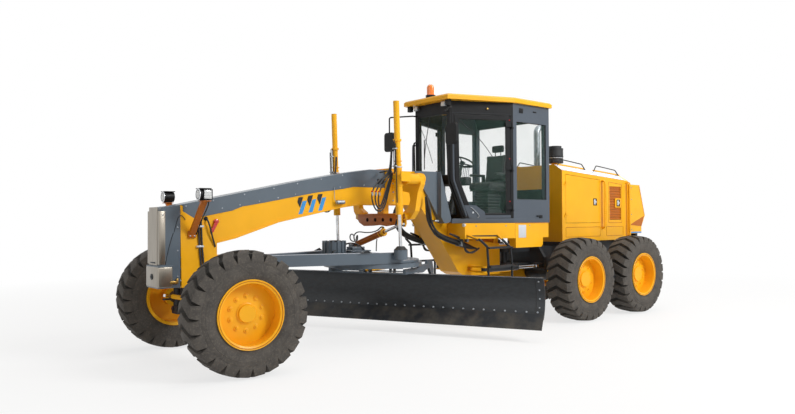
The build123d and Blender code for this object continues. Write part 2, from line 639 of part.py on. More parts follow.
def cutting_edge():
    """Flat wear edge bolted along the blade's foot, pointing forward and down."""
    front, _ = blade_section(BLADE_Z[0], BLADE_Z[0] + 60)
    foot, top = Vector(*front[0]), Vector(*front[2])
    along_edge = (foot - top).normalized()
    forward = Vector(-along_edge.Y, along_edge.X)
    foot = top + along_edge * ((top.Y - BLADE_TIP_Z) / -along_edge.Y)
    corners = [top + forward * 0.4, foot + forward * 0.4, foot + forward * 19, top + forward * 19]
    edge = side_plate([(c.X, c.Y) for c in corners], -BLADE_LENGTH / 2, BLADE_LENGTH / 2)
    return on_circle(Pos(0, BLADE_SHIFT, 0) * edge)


nodes["drawbar"] = drawbar()
nodes["circle"] = circle()
nodes["tip_barrel"] = tip_barrel()
nodes["tip_rod"] = tip_rod()
nodes["blade_carrier"] = blade_carrier()
nodes["moldboard"] = moldboard()
nodes["cutting_edge"] = cutting_edge()


# ---------------------------------------------------------------- cab
def cab_plan(inset):
    """Cab outline seen from above, moved inwards by an inset."""
    slope = atan2(DOOR_POST[1] - CAB_FRONT[1], CAB_FRONT[0] - DOOR_POST[0])
    side_y = DOOR_POST[1] - inset
    front_x = CAB_FRONT[0] - inset
    post_x = DOOR_POST[0] - inset * (1 - cos(slope)) / sin(slope)
    front_y = side_y - (front_x - post_x) * sin(slope) / cos(slope)
    half = [(front_x, front_y), (post_x, side_y), (CAB_REAR_X + inset, side_y)]
    return half + [(x, -y) for x, y in reversed(half)]


def cab_profile(inset):
    """Cab outline seen from the side, moved inwards by an inset."""
    return [(CAB_REAR_X + inset, CAB_Z[0] + inset), (CAB_TOE_X - inset + 12, CAB_Z[0] + inset),
            (CAB_FRONT[0] - 6 - inset, CAB_KNEE_Z), (CAB_FRONT[0] - inset, CAB_Z[1]), (CAB_REAR_X + inset, CAB_Z[1])]


def door_plane():
    """Plane of the left door: origin on the door post, x forward along the door, y up, z inwards."""
    ahead = Vector(CAB_FRONT[0] - DOOR_POST[0], CAB_FRONT[1] - DOOR_POST[1], 0).normalized()
    inwards = Vector(ahead.Y, -ahead.X, 0)
    return Plane(origin=(*DOOR_POST, 0), x_dir=ahead, z_dir=inwards)


def door_slab(outline, outer, inner):
    """Solid from an outline in the door's plane, between two depths measured inwards."""
    face = make_face(Polyline([(u, z) for u, z in outline], close=True))
    return door_plane() * (Pos(0, 0, outer) * extrude(face, amount=inner - outer))


# (distance along the door from its post, z) of the doorway
DOORWAY = [(45, 1645), (715, 1645), (938, 2200), (950, 3200), (45, 3200)]


def inset_slab(inset, outer, inner):
    """The doorway's shape moved inwards by an inset, as a slab."""
    face = offset(make_face(Polyline(DOORWAY, close=True)), -inset, kind=Kind.INTERSECTION)
    return door_plane() * (Pos(0, 0, outer) * extrude(face, amount=inner - outer))


HINGES_Z = (1800, 2400, 3050)


def hinge_point():
    ahead, outwards = DOOR_HINGE
    point = door_plane().from_local_coords(Vector(ahead, 0, -outwards))
    return point.X, point.Y


def cab_frame():
    """Hollow cab shell: floor, pillars, header and panels, with doorways and windows cut."""
    outer = top_plate(cab_plan(0), *CAB_Z) & side_plate(cab_profile(0), -900, 900)
    inner = top_plate(cab_plan(CAB_WALL), CAB_Z[0] + CAB_WALL, CAB_Z[1] + 10) & side_plate(
        cab_profile(CAB_WALL), -900, 900)
    shell = outer - inner
    doorway = inset_slab(0, -60, 110)
    shell -= both_sides(doorway)
    shell -= both_sides(box((-1440, -730), (700, 900), (1929, 3120)))
    shell -= box((CAB_REAR_X - 60, CAB_REAR_X + 90), (-700, 700), (2100, 3200))
    shell -= box((150, 400), (-320, 320), (2290, 3210))
    shell -= box((-100, 400), (-340, 340), (1700, 2150))
    x, y = hinge_point()
    for z in HINGES_Z:
        pin = rod((x, y, z - 45), (x, y, z + 45), 8) + rod((x, y, z - 45), (x, y, z - 26), 14)
        leaf = box((x - 40, x), (y - 45, y), (z - 45, z - 26)) + box((x - 40, x - 26), (y - 45, y), (z - 45, z - 26))
        shell += both_sides(pin + leaf)
    return shell


def cab_walls():
    """The cab's shell as walls that meet edge to edge: floor, front with its grab rails, rear, and two on each side."""
    shell = cab_frame()
    floor_z = CAB_Z[0] + CAB_WALL + 10
    middle_x = DOOR_POST[0] - 45
    floor = box((-1600, 400), (-900, 900), (1500, floor_z))
    inside = side_plate(cab_profile(CAB_WALL + 10), -900, 900)
    ends = shell - floor - inside
    front = ends - box((-1600, middle_x), (-900, 900), (1500, 3500))
    rear = ends & box((-1600, middle_x), (-900, 900), (1500, 3500))
    walls = [shell & floor, front + both_sides(grab_rails()), rear]
    sides = (shell & inside) - floor
    for near, far in ((-1600, middle_x), (middle_x, 400)):
        wall = sides & box((near, far), (0, 900), (1500, 3500))
        walls += [wall, sides & box((near, far), (-900, 0), (1500, 3500))]
    return walls


def cab_door():
    """Left door: frame, glass set in it with a seal's gap, and hinge knuckles."""
    frame = inset_slab(DOOR_GAP, 0, DOOR_THICK) - inset_slab(DOOR_GAP + 62, -10, 60)
    corner = [(640, 1640), (800, 1640), (800, 1900), (780, 1900)]
    frame += door_slab(corner, 4, 30) & inset_slab(DOOR_GAP, -10, 60)
    x, y = hinge_point()
    plane = door_plane()
    for z in HINGES_Z:
        barrel = rod((x, y, z - 24), (x, y, z + 45), 14)
        near = plane.from_local_coords(Vector(DOOR_HINGE[0], z, -DOOR_HINGE[1]))
        strap = door_slab([(DOOR_HINGE[0], z - 24), (130, z - 24), (130, z + 40), (DOOR_HINGE[0], z + 40)],
                          -DOOR_HINGE[1] - 4, -DOOR_HINGE[1] + 4)
        foot = door_slab([(70, z - 24), (130, z - 24), (130, z + 40), (70, z + 40)], -DOOR_HINGE[1], 2)
        frame += barrel + strap + foot
        frame -= rod((x, y, z - 60), (x, y, z + 60), 8 + FIT)
    glass = inset_slab(DOOR_GAP + 63, 14, 20)
    glass -= door_slab([(630, 1600), (801, 1600), (801, 1901), (775, 1901)], -10, 60)
    return [frame, glass]


def cab_glass():
    """Windscreen, lower front, rear and quarter panes, each a gap clear of its frame."""
    upper = box((245, 251), (-319, 319), (2291, 3209))
    lower_face = [(72, 1701), (231, 2149), (225, 2149), (66, 1701)]
    lower = side_plate(lower_face, -339, 339)
    quarter = box((-1439, -731), (785, 791), (1930, 3119))
    rear = box((CAB_REAR_X + 20, CAB_REAR_X + 26), (-699, 699), (2101, 3199))
    return [upper, lower, quarter, mirrored(quarter), rear]


def cab_roof():
    """Roof slab with overhanging, tapered edges."""
    half = [(415, 492), (-640, 862), (-1545, 852)]
    plan = half + [(x, -y) for x, y in reversed(half)]
    slab = top_plate(plan, CAB_Z[1] + 1, 3475)
    return chamfer(slab.faces().sort_by(Axis.Z)[-1].edges(), 24)


nodes["cab_roof"] = cab_roof()
nodes["cab_door_left"] = cab_door()
nodes["cab_door_right"] = [mirrored(piece) for piece in nodes["cab_door_left"]]


def cab_cowl():
    """Faceted cowl on each side of the neck, ahead of the cab."""
    outline = [(818, 2336), (742, 2207), (587, 1977), (353, 1572), (233, 1592), (404, 2323), (404, 2336)]
    plan = [(818, 200.5), (818, 206), (420, 262), (404, 330), (233, 380), (233, 200.5)]
    side = side_plate(outline, 200, 400) & top_plate(plan, 1500, 2400)
    return [side, mirrored(side)]


def seat():
    """Operator's seat on its pedestal, with back, head rest and arm rests."""
    chair = box((-1130, -780), (-170, 170), (CAB_Z[0] + CAB_WALL, 2090)) + box((-1190, -730), (-250, 250), (2090, 2230))
    chair += side_plate([(-1100, 2150), (-1225, 2150), (-1265, 2700), (-1150, 2700)], -230, 230)
    chair += side_plate([(-1160, 2690), (-1255, 2690), (-1262, 2860), (-1180, 2860)], -130, 130)
    for y in (-310, 230):
        chair += box((-1170, -830), (y, y + 80), (2330, 2380)) + box((-1180, -1120), (y, y + 80), (2150, 2340))
    return chair


STEERING_WHEEL = (-383, 0, 2535)


def controls():
    """Steering column with its wheel, lever pods beside it and the side display."""
    tilt = Rot(0, -24, 0)
    x, y, z = STEERING_WHEEL
    ring = Torus(178, 14) + Cylinder(40, 30) + Box(356, 24, 12) + Box(24, 356, 12)
    column = Pos(x, y, z) * (tilt * (ring + Pos(0, 0, -160) * Cylinder(32, 320)))
    foot = box((-300, -20), (-60, 60), (CAB_Z[0] + CAB_WALL, 1700))
    column += rod((-250, 0, 2245), (-90, 0, 1690), 55) + foot
    column += box((-330, -190), (-260, 260), (2150, 2290))
    for side in (1, -1):
        for k in range(4):
            lever_y = side * (120 + 38 * k)
            column += rod((-260, lever_y, 2280), (-290, lever_y, 2440), 8) + Pos(-290, lever_y, 2445) * Sphere(17)
    column += rod((-150, 200, 1650), (60, 240, 2420), 12) + rod((-150, 200, 1621), (-150, 200, 1660), 40)
    column += box((40, 75), (150, 320), (2380, 2510))
    return column


def platform():
    """Deck around the cab with skirts, tool boxes and the two access ladders."""
    half = [(420, 478), (-653, 830), (-1461, 830)]
    outline = half + [(x, -y) for x, y in reversed(half)]
    face = make_face(Polyline([(x, y, 0) for x, y in outline], close=True))
    inner = offset(face, -25, kind=Kind.INTERSECTION)
    deck = Pos(0, 0, SKIRT_BOTTOM_Z) * extrude(face, amount=DECK_Z[1] - SKIRT_BOTTOM_Z, dir=(0, 0, 1))
    deck -= Pos(0, 0, SKIRT_BOTTOM_Z - 5) * extrude(inner, amount=DECK_Z[0] - SKIRT_BOTTOM_Z + 5, dir=(0, 0, 1))
    deck -= box((-80, 600), (-207, 207), (1300, DECK_Z[0])) + box((20, 600), (-207, 207), (1300, 1600))
    half_box = side_plate([(-675, 1341), (-675, 1195), (-1280, 1195), (-1321, 1236), (-1321, 1341)], 700, 829)
    deck += both_sides(half_box) + both_sides(box((-1321, -675), (700, 806), (1340, 1345)))
    deck += both_sides(box((-1300, -1260), (690, 820), (1330, 1540)) + box((-740, -700), (690, 800), (1330, 1540)))
    return deck + both_sides(ladder())


# (x, y, z) along the front and rear stringers of the left ladder
LADDER_FRONT = [(110, 560, 1400), (110, 835, 1330), (-19, 850, 1228), (-41, 850, 951), (-41, 850, 610)]
LADDER_REAR = [(-371, 725, 1400), (-371, 845, 1314), (-522, 850, 1205), (-557, 850, 951), (-557, 850, 610)]


def ladder():
    steps = pipe(LADDER_FRONT, 18, 40) + pipe(LADDER_REAR, 18, 40)
    for z, x_front, x_rear in ((1213, -20, -520), (940, -41, -557), (660, -41, -557)):
        steps += rod((x_front, 850, z), (x_rear, 850, z), 17) + box((x_rear + 10, x_front - 10), (850, 905), (z - 8, z + 8))
        for x in (x_front - 15, x_rear - 5):
            steps += box((x, x + 20), (845, 905), (z - 14, z + 8))
    return steps


def grab_rails():
    """Rails up the front corners of the cab, cranked with the corner pillars."""
    rail = pipe([(275, 376, 2830), (318, 368, 2821), (293, 379, 2169), (101, 470, 1655), (58, 478, 1650)], 13, 26)
    return rail


def lamps_and_mirrors():
    """Head lamps on the nose, work lamps, beacon and mirrors, each a piece of its own."""
    pieces = []
    for side in (1, -1):
        strut = cross_plate([(side * y, z) for y, z in ((170.5, 1462), (184, 1462), (534, 1846), (580, 1846), (580, 1856),
                                                        (500, 1856), (170.5, 1492))], 4132, 4202)
        lamp = rod((4110, side * 515, 1925), (4240, side * 515, 1925), 62) + rod((4212, side * 515, 1925), (4236, side * 515, 1925), 67)
        lamp += box((4100, 4205), (side * 515, side * 588), (1868, 1982)) + box((4130, 4205), (side * 490, side * 560), (1850, 1870))
        pieces.append(strut + lamp)
        pieces.append(box((310, 370), (side * 390, side * 460), (3310, CAB_Z[1] + 1)))
        arm = pipe([(275.5, side * 360, 3240), (350, side * 360, 3240), (542, side * 700, 3240), (542, side * 700, 2990)], 11, 30)
        glass = box((524, 560), (side * 590, side * 810), (2700, 3000))
        glass = fillet(glass.edges().filter_by(Axis.X), 50)
        pieces.append(arm + glass)
    pieces.append(rod((300, 0, 3476), (300, 0, 3520), 75) + rod((300, 0, 3515), (300, 0, 3632), 58) + Pos(300, 0, 3632) * Sphere(58))
    return pieces


nodes["cab_frame"] = cab_walls() + cab_glass()
nodes["cowls"] = [nose_cowl()] + cab_cowl()
nodes["seat"] = seat()
nodes["controls"] = controls()
nodes["platform"] = platform()
nodes["lamps_and_mirrors"] = lamps_and_mirrors()


# ---------------------------------------------------------------- articulation cylinders
ARTICULATION_BARREL = 763


def articulation_barrel(side):
    x, y = FRONT_EYE[0], side * FRONT_EYE[1]
    z = CYLINDER_EYES_Z
    shell = rod((x - 62, y, z), (x - ARTICULATION_BARREL, y, z), 45) + rod((x - 30, y, z), (x - 70, y, z), 22)
    shell += rod((x, y, z - 22), (x, y, z + 22), 42)
    shell -= rod((x, y, z - 60), (x, y, z + 60), 20 + FIT)
    return shell - rod((x - 90, y, z), (x - ARTICULATION_BARREL - 10, y, z), 25 + FIT)


def articulation_rod(side):
    x, y = REAR_EYE[0], side * REAR_EYE[1]
    z = CYLINDER_EYES_Z
    return rod((x + 760, y, z), (x, y, z), 25) + rod((x, y, z - 18), (x, y, z + 18), 42)


for name, side in (("left", 1), ("right", -1)):
    nodes[f"articulation_barrel_{name}"] = articulation_barrel(side)
    nodes[f"articulation_rod_{name}"] = articulation_rod(side)


# ---------------------------------------------------------------- rear body
TANDEM_CASE = [(-1720, 560), (-1685, 665), (-1720, 780), (-1900, 880), (-2729, 915), (-3560, 880), (-3740, 780),
               (-3775, 665), (-3740, 560), (-3560, 450), (-1900, 450)]


def rear_frame():
    """Hinge plates, bulkhead, two rails with cross members and the rear axle housing."""
    frame = cross_plate([(550, 790), (550, 1000), (430, 1170), (-430, 1170), (-550, 1000), (-550, 790)], -1760, -1700)
    for z_low, z_high in ((836, 895), (1085, 1144)):
        frame += top_plate([(-1710, 260), (PIVOT_X, 150), (PIVOT_X, -150), (-1710, -260)], z_low, z_high)
        frame += rod((PIVOT_X, 0, z_low), (PIVOT_X, 0, z_high), 150)
    frame += rod((PIVOT_X, 0, 764), (PIVOT_X, 0, 1216), 55)
    for y in (260, -400):
        frame += box((-4480, -1750), (y, y + 140), (850, 1170)) + box((-4120, -2120), (y, y + 140), (1160, HOOD_BOTTOM_Z - 0.5))
    for x in (-2180, -4131):
        frame += box((x, x + 60), (-600, 600), (1180, HOOD_BOTTOM_Z - 0.5))
    frame += box((-4500, -4440), (-560, 560), (850, 1345))
    frame += rod((-2729, -598, TYRE_R), (-2729, 598, TYRE_R), 150) + box((-2900, -2560), (-400, 400), (640, 860))
    x, y = REAR_EYE
    for z_low in (CYLINDER_EYES_Z - 48, CYLINDER_EYES_Z + 26):
        for side in (1, -1):
            frame += box((-1705, x), (side * (y - 45), side * (y + 45)), (z_low, z_low + 22))
            frame += rod((x, side * y, z_low), (x, side * y, z_low + 22), 45)
    return frame


def tandem_cases():
    """Chain case on each side with the stub axles of its two wheels."""
    case = side_plate(TANDEM_CASE, 600, 800)
    for x in TANDEM_AXLES_X:
        case += rod((x, 790, TYRE_R), (x, HALF_TRACK + 50, TYRE_R), 60) + rod((x, 790, TYRE_R), (x, 900, TYRE_R), 110)
    return [case, mirrored(case)]


def hood_z(x, height=0):
    """Height of the hood's side edge at x, plus a height above it."""
    share = (x - HOOD_X[0]) / (HOOD_X[1] - HOOD_X[0])
    return HOOD_SIDE_Z[0] + (HOOD_SIDE_Z[1] - HOOD_SIDE_Z[0]) * share + height


def hood_block(inset):
    """Hood outline, moved inwards by an inset and open below when hollow."""
    front, rear = HOOD_X[0] - inset, HOOD_X[1] + inset
    half = HOOD_HALF - inset
    bottom = HOOD_BOTTOM_Z - (10 if inset else 0)
    in_from_side, rise = SHOULDER
    block = side_plate([(front, bottom), (front, hood_z(front, rise - inset)), (rear, hood_z(rear, rise - inset)),
                        (rear, bottom)], -half, half)
    slope = Vector(HOOD_X[1] - HOOD_X[0], 0, HOOD_SIDE_Z[1] - HOOD_SIDE_Z[0])
    for side in (1, -1):
        x = HOOD_X[0] + 50
        start = hood_z(x)
        drop = inset * 0.65
        wire = Polyline([(x, side * (HOOD_HALF + 20), start - 13 - drop), (x, side * (HOOD_HALF - in_from_side), start + rise - drop),
                         (x, side * (HOOD_HALF + 20), start + rise + 150)], close=True)
        block -= extrude(make_face(wire), amount=slope.length + 120, dir=slope.normalized())
    return block


HOOD_DOOR = [(-2227, 1552), (-2227, 2384), (-3225, 2316), (-3225, 1552)]
HOOD_HINGE = (-2220, 610)
HOOD_HINGES_Z = (1700, 2230)
GRILLE_X = (-3520, -3886)
GRILLE_Z = (1602, 2209)
LOUVRES = 13


def hood():
    """Engine hood with doorways, hand rails, top rails and the air pre-cleaner."""
    shell = hood_block(0) - hood_block(HOOD_WALL)
    shell -= both_sides(side_plate(HOOD_DOOR, 500, 700))
    x, y = HOOD_HINGE
    for z in HOOD_HINGES_Z:
        leaf = rod((x, y, z - 40), (x, y, z - 14), 10) + rod((x, y, z - 40), (x, y, z + 26), 5) + box(
            (x, x + 40), (599, 612), (z - 40, z - 14))
        shell += both_sides(leaf)
    shell -= both_sides(box((GRILLE_X[1], GRILLE_X[0]), (586, 620), GRILLE_Z))
    pitch = (GRILLE_Z[1] - GRILLE_Z[0]) / LOUVRES
    for k in range(LOUVRES):
        z = GRILLE_Z[0] + pitch * k
        louvre = cross_plate([(580, z + 2), (600, z + 8), (600, z + 12), (580, z + pitch - 8)], GRILLE_X[1] - 1, GRILLE_X[0] + 1)
        shell += both_sides(louvre)
    for x_rail, z_low, z_high in ((-3275, 1458, 2300), (-4085, 1300, 2290)):
        shell += both_sides(pipe([(x_rail, 598, z_low), (x_rail, 665, z_low), (x_rail, 665, z_high),
                                  (x_rail, 598, z_high)], 13, 30))
    for start, end in ((-2202, -3006), (-3247, -4115)):
        shell += both_sides(side_plate([(start, hood_z(start, 95)), (start - 30, hood_z(start, 130)),
                                        (end + 30, hood_z(end, 130)), (end, hood_z(end, 95))], 420, 442))
    shell += rod((-2478, 200, 2480), (-2478, 200, 2610), 70) + rod((-2478, 200, 2601), (-2478, 200, 2860), 138)
    shell += rod((-2478, 200, 2850), (-2478, 200, 2900), 110)
    return shell


def hood_door():
    """Left engine door, hinged at its front edge."""
    face = make_face(Polyline([(x, HOOD_HALF - HOOD_WALL, z) for x, z in HOOD_DOOR], close=True))
    inner = offset(face, -GAP, kind=Kind.INTERSECTION)
    door = extrude(inner, amount=HOOD_WALL, dir=(0, 1, 0))
    x, y = HOOD_HINGE
    for z in HOOD_HINGES_Z:
        door += box((x - 80, x), (y - 5, y + 5), (z - 12, z + 26)) + rod((x, y, z - 12), (x, y, z + 26), 10)
        door += box((x - 80, x - 30), (y - 12, y + 5), (z - 12, z + 26))
        door -= rod((x, y, z - 50), (x, y, z + 50), 5 + FIT)
    return door


def tail_box():
    """Closed radiator housing behind the hood."""
    outline = [(-4137, 1346), (-4137, 2257), (-4460, 2253), (-4641, 1679), (-4517, 1471), (-4515, 1346)]
    return side_plate(outline, -635, 635)


def engine():
    return box((-3300, -2300), (-350, 350), (HOOD_BOTTOM_Z, 2100))


def exhaust():
    """Upright stack with a swept-back outlet."""
    return pipe([(-2480, -200, 2560), (-2480, -200, 3262), (-2690, -200, 3290)], 58, 110)


nodes["rear_frame"] = rear_frame()
nodes["tandem_cases"] = tandem_cases()
nodes["hood"] = hood()
nodes["hood_door_left"] = hood_door()
nodes["hood_door_right"] = mirrored(nodes["hood_door_left"])
nodes["tail_box"] = tail_box()
nodes["engine"] = engine()
nodes["exhaust"] = exhaust()


# ---------------------------------------------------------------- files
os.makedirs("parts", exist_ok=True)
for name, shape in nodes.items():
    solids = shape if isinstance(shape, list) else [shape]
    solids = [solid for piece in solids for solid in piece.solids()]
    export_step(solids[0] if len(solids) == 1 else Compound(children=solids), f"parts/{name}.step")
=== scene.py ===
"""Motor grader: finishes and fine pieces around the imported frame, laid out as an add-on and run as a script."""
import json
from math import cos, hypot, radians, sin, tau

import bpy
from mathutils import Matrix, Vector

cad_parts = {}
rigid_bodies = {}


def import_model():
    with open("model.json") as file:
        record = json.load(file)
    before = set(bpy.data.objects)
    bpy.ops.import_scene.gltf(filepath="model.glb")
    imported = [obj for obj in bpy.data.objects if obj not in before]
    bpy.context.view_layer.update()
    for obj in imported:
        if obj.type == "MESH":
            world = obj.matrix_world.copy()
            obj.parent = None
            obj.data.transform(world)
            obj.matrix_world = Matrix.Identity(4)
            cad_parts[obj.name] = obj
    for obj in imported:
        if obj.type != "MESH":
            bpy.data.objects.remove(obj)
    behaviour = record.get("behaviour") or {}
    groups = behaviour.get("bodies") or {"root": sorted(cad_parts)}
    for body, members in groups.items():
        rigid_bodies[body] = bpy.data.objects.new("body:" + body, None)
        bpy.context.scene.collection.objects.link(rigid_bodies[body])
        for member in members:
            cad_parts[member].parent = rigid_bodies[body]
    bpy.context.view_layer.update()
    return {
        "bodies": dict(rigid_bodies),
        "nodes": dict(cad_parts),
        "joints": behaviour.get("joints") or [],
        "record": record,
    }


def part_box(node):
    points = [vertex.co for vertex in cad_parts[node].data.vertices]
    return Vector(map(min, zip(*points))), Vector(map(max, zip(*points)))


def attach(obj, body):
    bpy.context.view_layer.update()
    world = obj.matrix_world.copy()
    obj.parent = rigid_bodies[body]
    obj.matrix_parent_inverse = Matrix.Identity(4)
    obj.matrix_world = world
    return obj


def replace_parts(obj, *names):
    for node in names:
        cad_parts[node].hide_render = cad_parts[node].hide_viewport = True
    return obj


bl_info = {
    "name": "Motor grader",
    "version": (1, 0, 0),
    "blender": (4, 5, 0),
    "location": "View3D > Sidebar > Grader",
    "description": "Builds a motor grader's finishes and fine pieces around its packed frame",
    "category": "Object",
}

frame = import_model()
NODES = frame["nodes"]


# ---------------------------------------------------------------- sizes and places, in millimetres
MM = 0.001
TANDEM_X = (-1960, -3498)
AXLE_Z = 665
STEER_AT_REST = radians(-6)
CIRCLE_X = 1425
CIRCLE_TURN = radians(25.5)
BEAM_SIDE = 160
NOSE_SIDE = 177
SKIRT_SIDE = 829
CAB_SIDE = 812
HOOD_SIDE = 600
TAIL_SIDE = 634
DRIVE_X = 2085
TRUNNION = Vector((1490, 785, 2210))
LIFT_TOP = Vector((1550, 722, 2200))
LIFT_BALL = Vector((1516, 722, 1177))
SHIFT_EYE = Vector((1290, 483, 1573))
SHIFT_FOOT = Vector((1290, -659, 1239))
HEAD_LAMP = Vector((4236, 515, 1925))
AIR_CLEANER = Vector((-2478, 200, 0))
WORK_LAMPS_Y = (294, -317)
DOOR_POST = Vector((-650, 812, 0))
DOOR_AHEAD = (Vector((275, 383, 0)) - DOOR_POST).normalized()
DOOR_INWARDS = Vector((DOOR_AHEAD.y, -DOOR_AHEAD.x, 0))
AHEAD, LEFT, UP = (1, 0, 0), (0, 1, 0), (0, 0, 1)
# how far a face may stand past the box that picks it
TOLERANCE = 0.6


# ---------------------------------------------------------------- small tools for finishes
def linear(hex_colour):
    """sRGB hex such as F5B82E as linear red, green, blue and alpha."""
    values = [int(hex_colour[k:k + 2], 16) / 255 for k in (0, 2, 4)]
    return [c / 12.92 if c <= 0.04045 else ((c + 0.055) / 1.055) ** 2.4 for c in values] + [1.0]


def add(tree, kind, inputs=None, **settings):
    """Adds a node with its settings. inputs gives each socket a value, or another node's output to link."""
    node = tree.nodes.new(kind)
    for key, value in settings.items():
        setattr(node, key, value)
    for socket, value in (inputs or {}).items():
        if isinstance(value, bpy.types.NodeSocket):
            tree.links.new(value, node.inputs[socket])
        else:
            node.inputs[socket].default_value = value
    return node


def new_material(name):
    """Empty node material with its tree, shader and object coordinates."""
    material = bpy.data.materials.new(name)
    material.use_nodes = True
    tree = material.node_tree
    tree.nodes.clear()
    shader = add(tree, "ShaderNodeBsdfPrincipled")
    add(tree, "ShaderNodeOutputMaterial", {"Surface": shader.outputs[0]})
    return material, tree, shader, add(tree, "ShaderNodeTexCoord").outputs["Object"]


def noise(tree, place, size, detail=3.0, roughness=0.55):
    """Noise whose features are about size metres across."""
    return add(tree, "ShaderNodeTexNoise", {"Vector": place, "Scale": 1 / size, "Detail": detail,
                                            "Roughness": roughness}).outputs["Fac"]


def between(tree, value, low, high, to_low=0.0, to_high=1.0):
    """Value from low to high mapped to another range, clamped."""
    return add(tree, "ShaderNodeMapRange", {"Value": value, "From Min": low, "From Max": high, "To Min": to_low,
                                            "To Max": to_high}).outputs[0]


def maths(tree, operation, *values, clamp=False):
    node = add(tree, "ShaderNodeMath", dict(enumerate(values)), operation=operation, use_clamp=clamp)
    return node.outputs[0]


def mixed(tree, share, first, second, blend="MIX"):
    """Two colours mixed by a share. Each is an sRGB hex string or a socket."""
    first, second = (linear(c) if isinstance(c, str) else c for c in (first, second))
    return add(tree, "ShaderNodeMix", {0: share, 6: first, 7: second}, data_type="RGBA", blend_type=blend).outputs[2]


def bumped(tree, shader, height, depth, strength=1.0):
    """Bump of a real depth in metres."""
    bump = add(tree, "ShaderNodeBump", {"Height": height, "Distance": depth, "Strength": strength})
    tree.links.new(bump.outputs[0], shader.inputs["Normal"])


def low_dust(tree, place, height=1.1):
    """Dust that gathers low on the machine and on what faces up, from 0 to 1."""
    z = add(tree, "ShaderNodeSeparateXYZ", {0: place}).outputs[2]
    low = between(tree, z, 0.05, height, 1.0, 0.0)
    patches = between(tree, noise(tree, place, 0.22, 5), 0.40, 0.72)
    up = add(tree, "ShaderNodeSeparateXYZ", {0: add(tree, "ShaderNodeNewGeometry").outputs["Normal"]}).outputs[2]
    flat = between(tree, up, 0.6, 1.0, 0.0, 0.35)
    return maths(tree, "MULTIPLY", maths(tree, "ADD", maths(tree, "MULTIPLY", low, 0.55), flat), patches, clamp=True)


# ---------------------------------------------------------------- what a user may change
def colour_property(name, hex_colour, description):
    return bpy.props.FloatVectorProperty(name=name, description=description, subtype="COLOR", size=3, min=0, max=1,
                                         default=linear(hex_colour)[:3])


class GRADER_PG_colours(bpy.types.PropertyGroup):
    """Paint colours of the machine"""
    yellow: colour_property("Yellow", "FAB61C", "Enamel of the frame, hood, rims and lift cylinders")
    grey: colour_property("Grey", "58646F", "Enamel of the beam's covers, the drawbar and the circle")
    cab: colour_property("Cab", "4A535E", "Enamel of the cab's rear walls, sills and grab rails")
    black: colour_property("Black", "131416", "Powder coat of the cab's frame and doors")
    stripe: colour_property("Stripes", "1E8FD6", "Film of the three slanted stripes")


class GRADER_PG_sizes(bpy.types.PropertyGroup):
    """Sizes and levels of the fine pieces"""
    lugs: bpy.props.IntProperty(name="Tyre lugs", description="Chevrons round each tyre", default=24, min=12, max=36)
    hose_radius: bpy.props.FloatProperty(name="Hose radius", description="Radius of the lift cylinders' hoses",
                                         default=0.010, min=0.004, max=0.02, subtype="DISTANCE", unit="LENGTH")
    seat_crown: bpy.props.FloatProperty(name="Seat crown", description="Most that the seat's pads swell",
                                        default=0.016, min=0.0, max=0.04, subtype="DISTANCE", unit="LENGTH")
    key_power: bpy.props.FloatProperty(name="Key lamp", description="Power of the main lamp", default=2250.0, min=0.0,
                                       unit="POWER")


# ---------------------------------------------------------------- finishes
def shades(colour):
    """A colour, given as hex or as three linear values, and one a little darker."""
    first = linear(colour) if isinstance(colour, str) else [*colour, 1.0]
    return first, [c * 0.9 for c in first[:3]] + [1.0]


def paint(name, colour, rough=0.34, dust=0.35, wear="8A8F94", coat=0.35, gloss=0.5):
    """Two-pack machine enamel, sprayed on steel plate: an even gloss with faint orange peel, thin road dust low
    down and on ledges, and small chips rubbed to primer."""
    material, tree, shader, place = new_material(name)
    cloudy = between(tree, noise(tree, place, 0.6, 4), 0.35, 0.65)
    base = mixed(tree, cloudy, *shades(colour))
    dusty = maths(tree, "MULTIPLY", low_dust(tree, place), dust)
    base = mixed(tree, dusty, base, "A89C88")
    chips = maths(tree, "MULTIPLY", between(tree, noise(tree, place, 0.012, 2), 0.74, 0.77),
                  between(tree, noise(tree, place, 0.35, 3), 0.56, 0.66))
    base = mixed(tree, maths(tree, "MULTIPLY", chips, 0.45), base, wear)
    tree.links.new(base, shader.inputs["Base Color"])
    smear = noise(tree, place, 0.09, 5)
    tree.links.new(maths(tree, "ADD", between(tree, smear, 0.3, 0.7, rough - 0.06, rough + 0.1),
                         maths(tree, "MULTIPLY", dusty, 0.5)), shader.inputs["Roughness"])
    shader.inputs["Specular IOR Level"].default_value = gloss
    shader.inputs["Coat Weight"].default_value = coat
    shader.inputs["Coat Roughness"].default_value = 0.12
    # orange peel is about 2 mm across on a real panel and is drawn at 7 mm so that it shows
    bumped(tree, shader, noise(tree, place, 0.007, 2), 0.0004, 0.25)
    return material


def tyre_rubber():
    """Carbon-black tyre rubber, moulded: matt, with a grey-brown bloom and dust caught in the grooves and walls."""
    material, tree, shader, place = new_material("Rubber_tyre")
    bloom = between(tree, noise(tree, place, 0.12, 6), 0.35, 0.7)
    base = mixed(tree, bloom, "464340", "57534E")
    dust = between(tree, noise(tree, place, 0.02, 8), 0.5, 0.72, 0.0, 0.55)
    tree.links.new(mixed(tree, dust, base, "6E675E"), shader.inputs["Base Color"])
    shader.inputs["Roughness"].default_value = 0.85
    shader.inputs["Specular IOR Level"].default_value = 0.3
    bumped(tree, shader, noise(tree, place, 0.004, 4), 0.0006, 0.5)
    return material


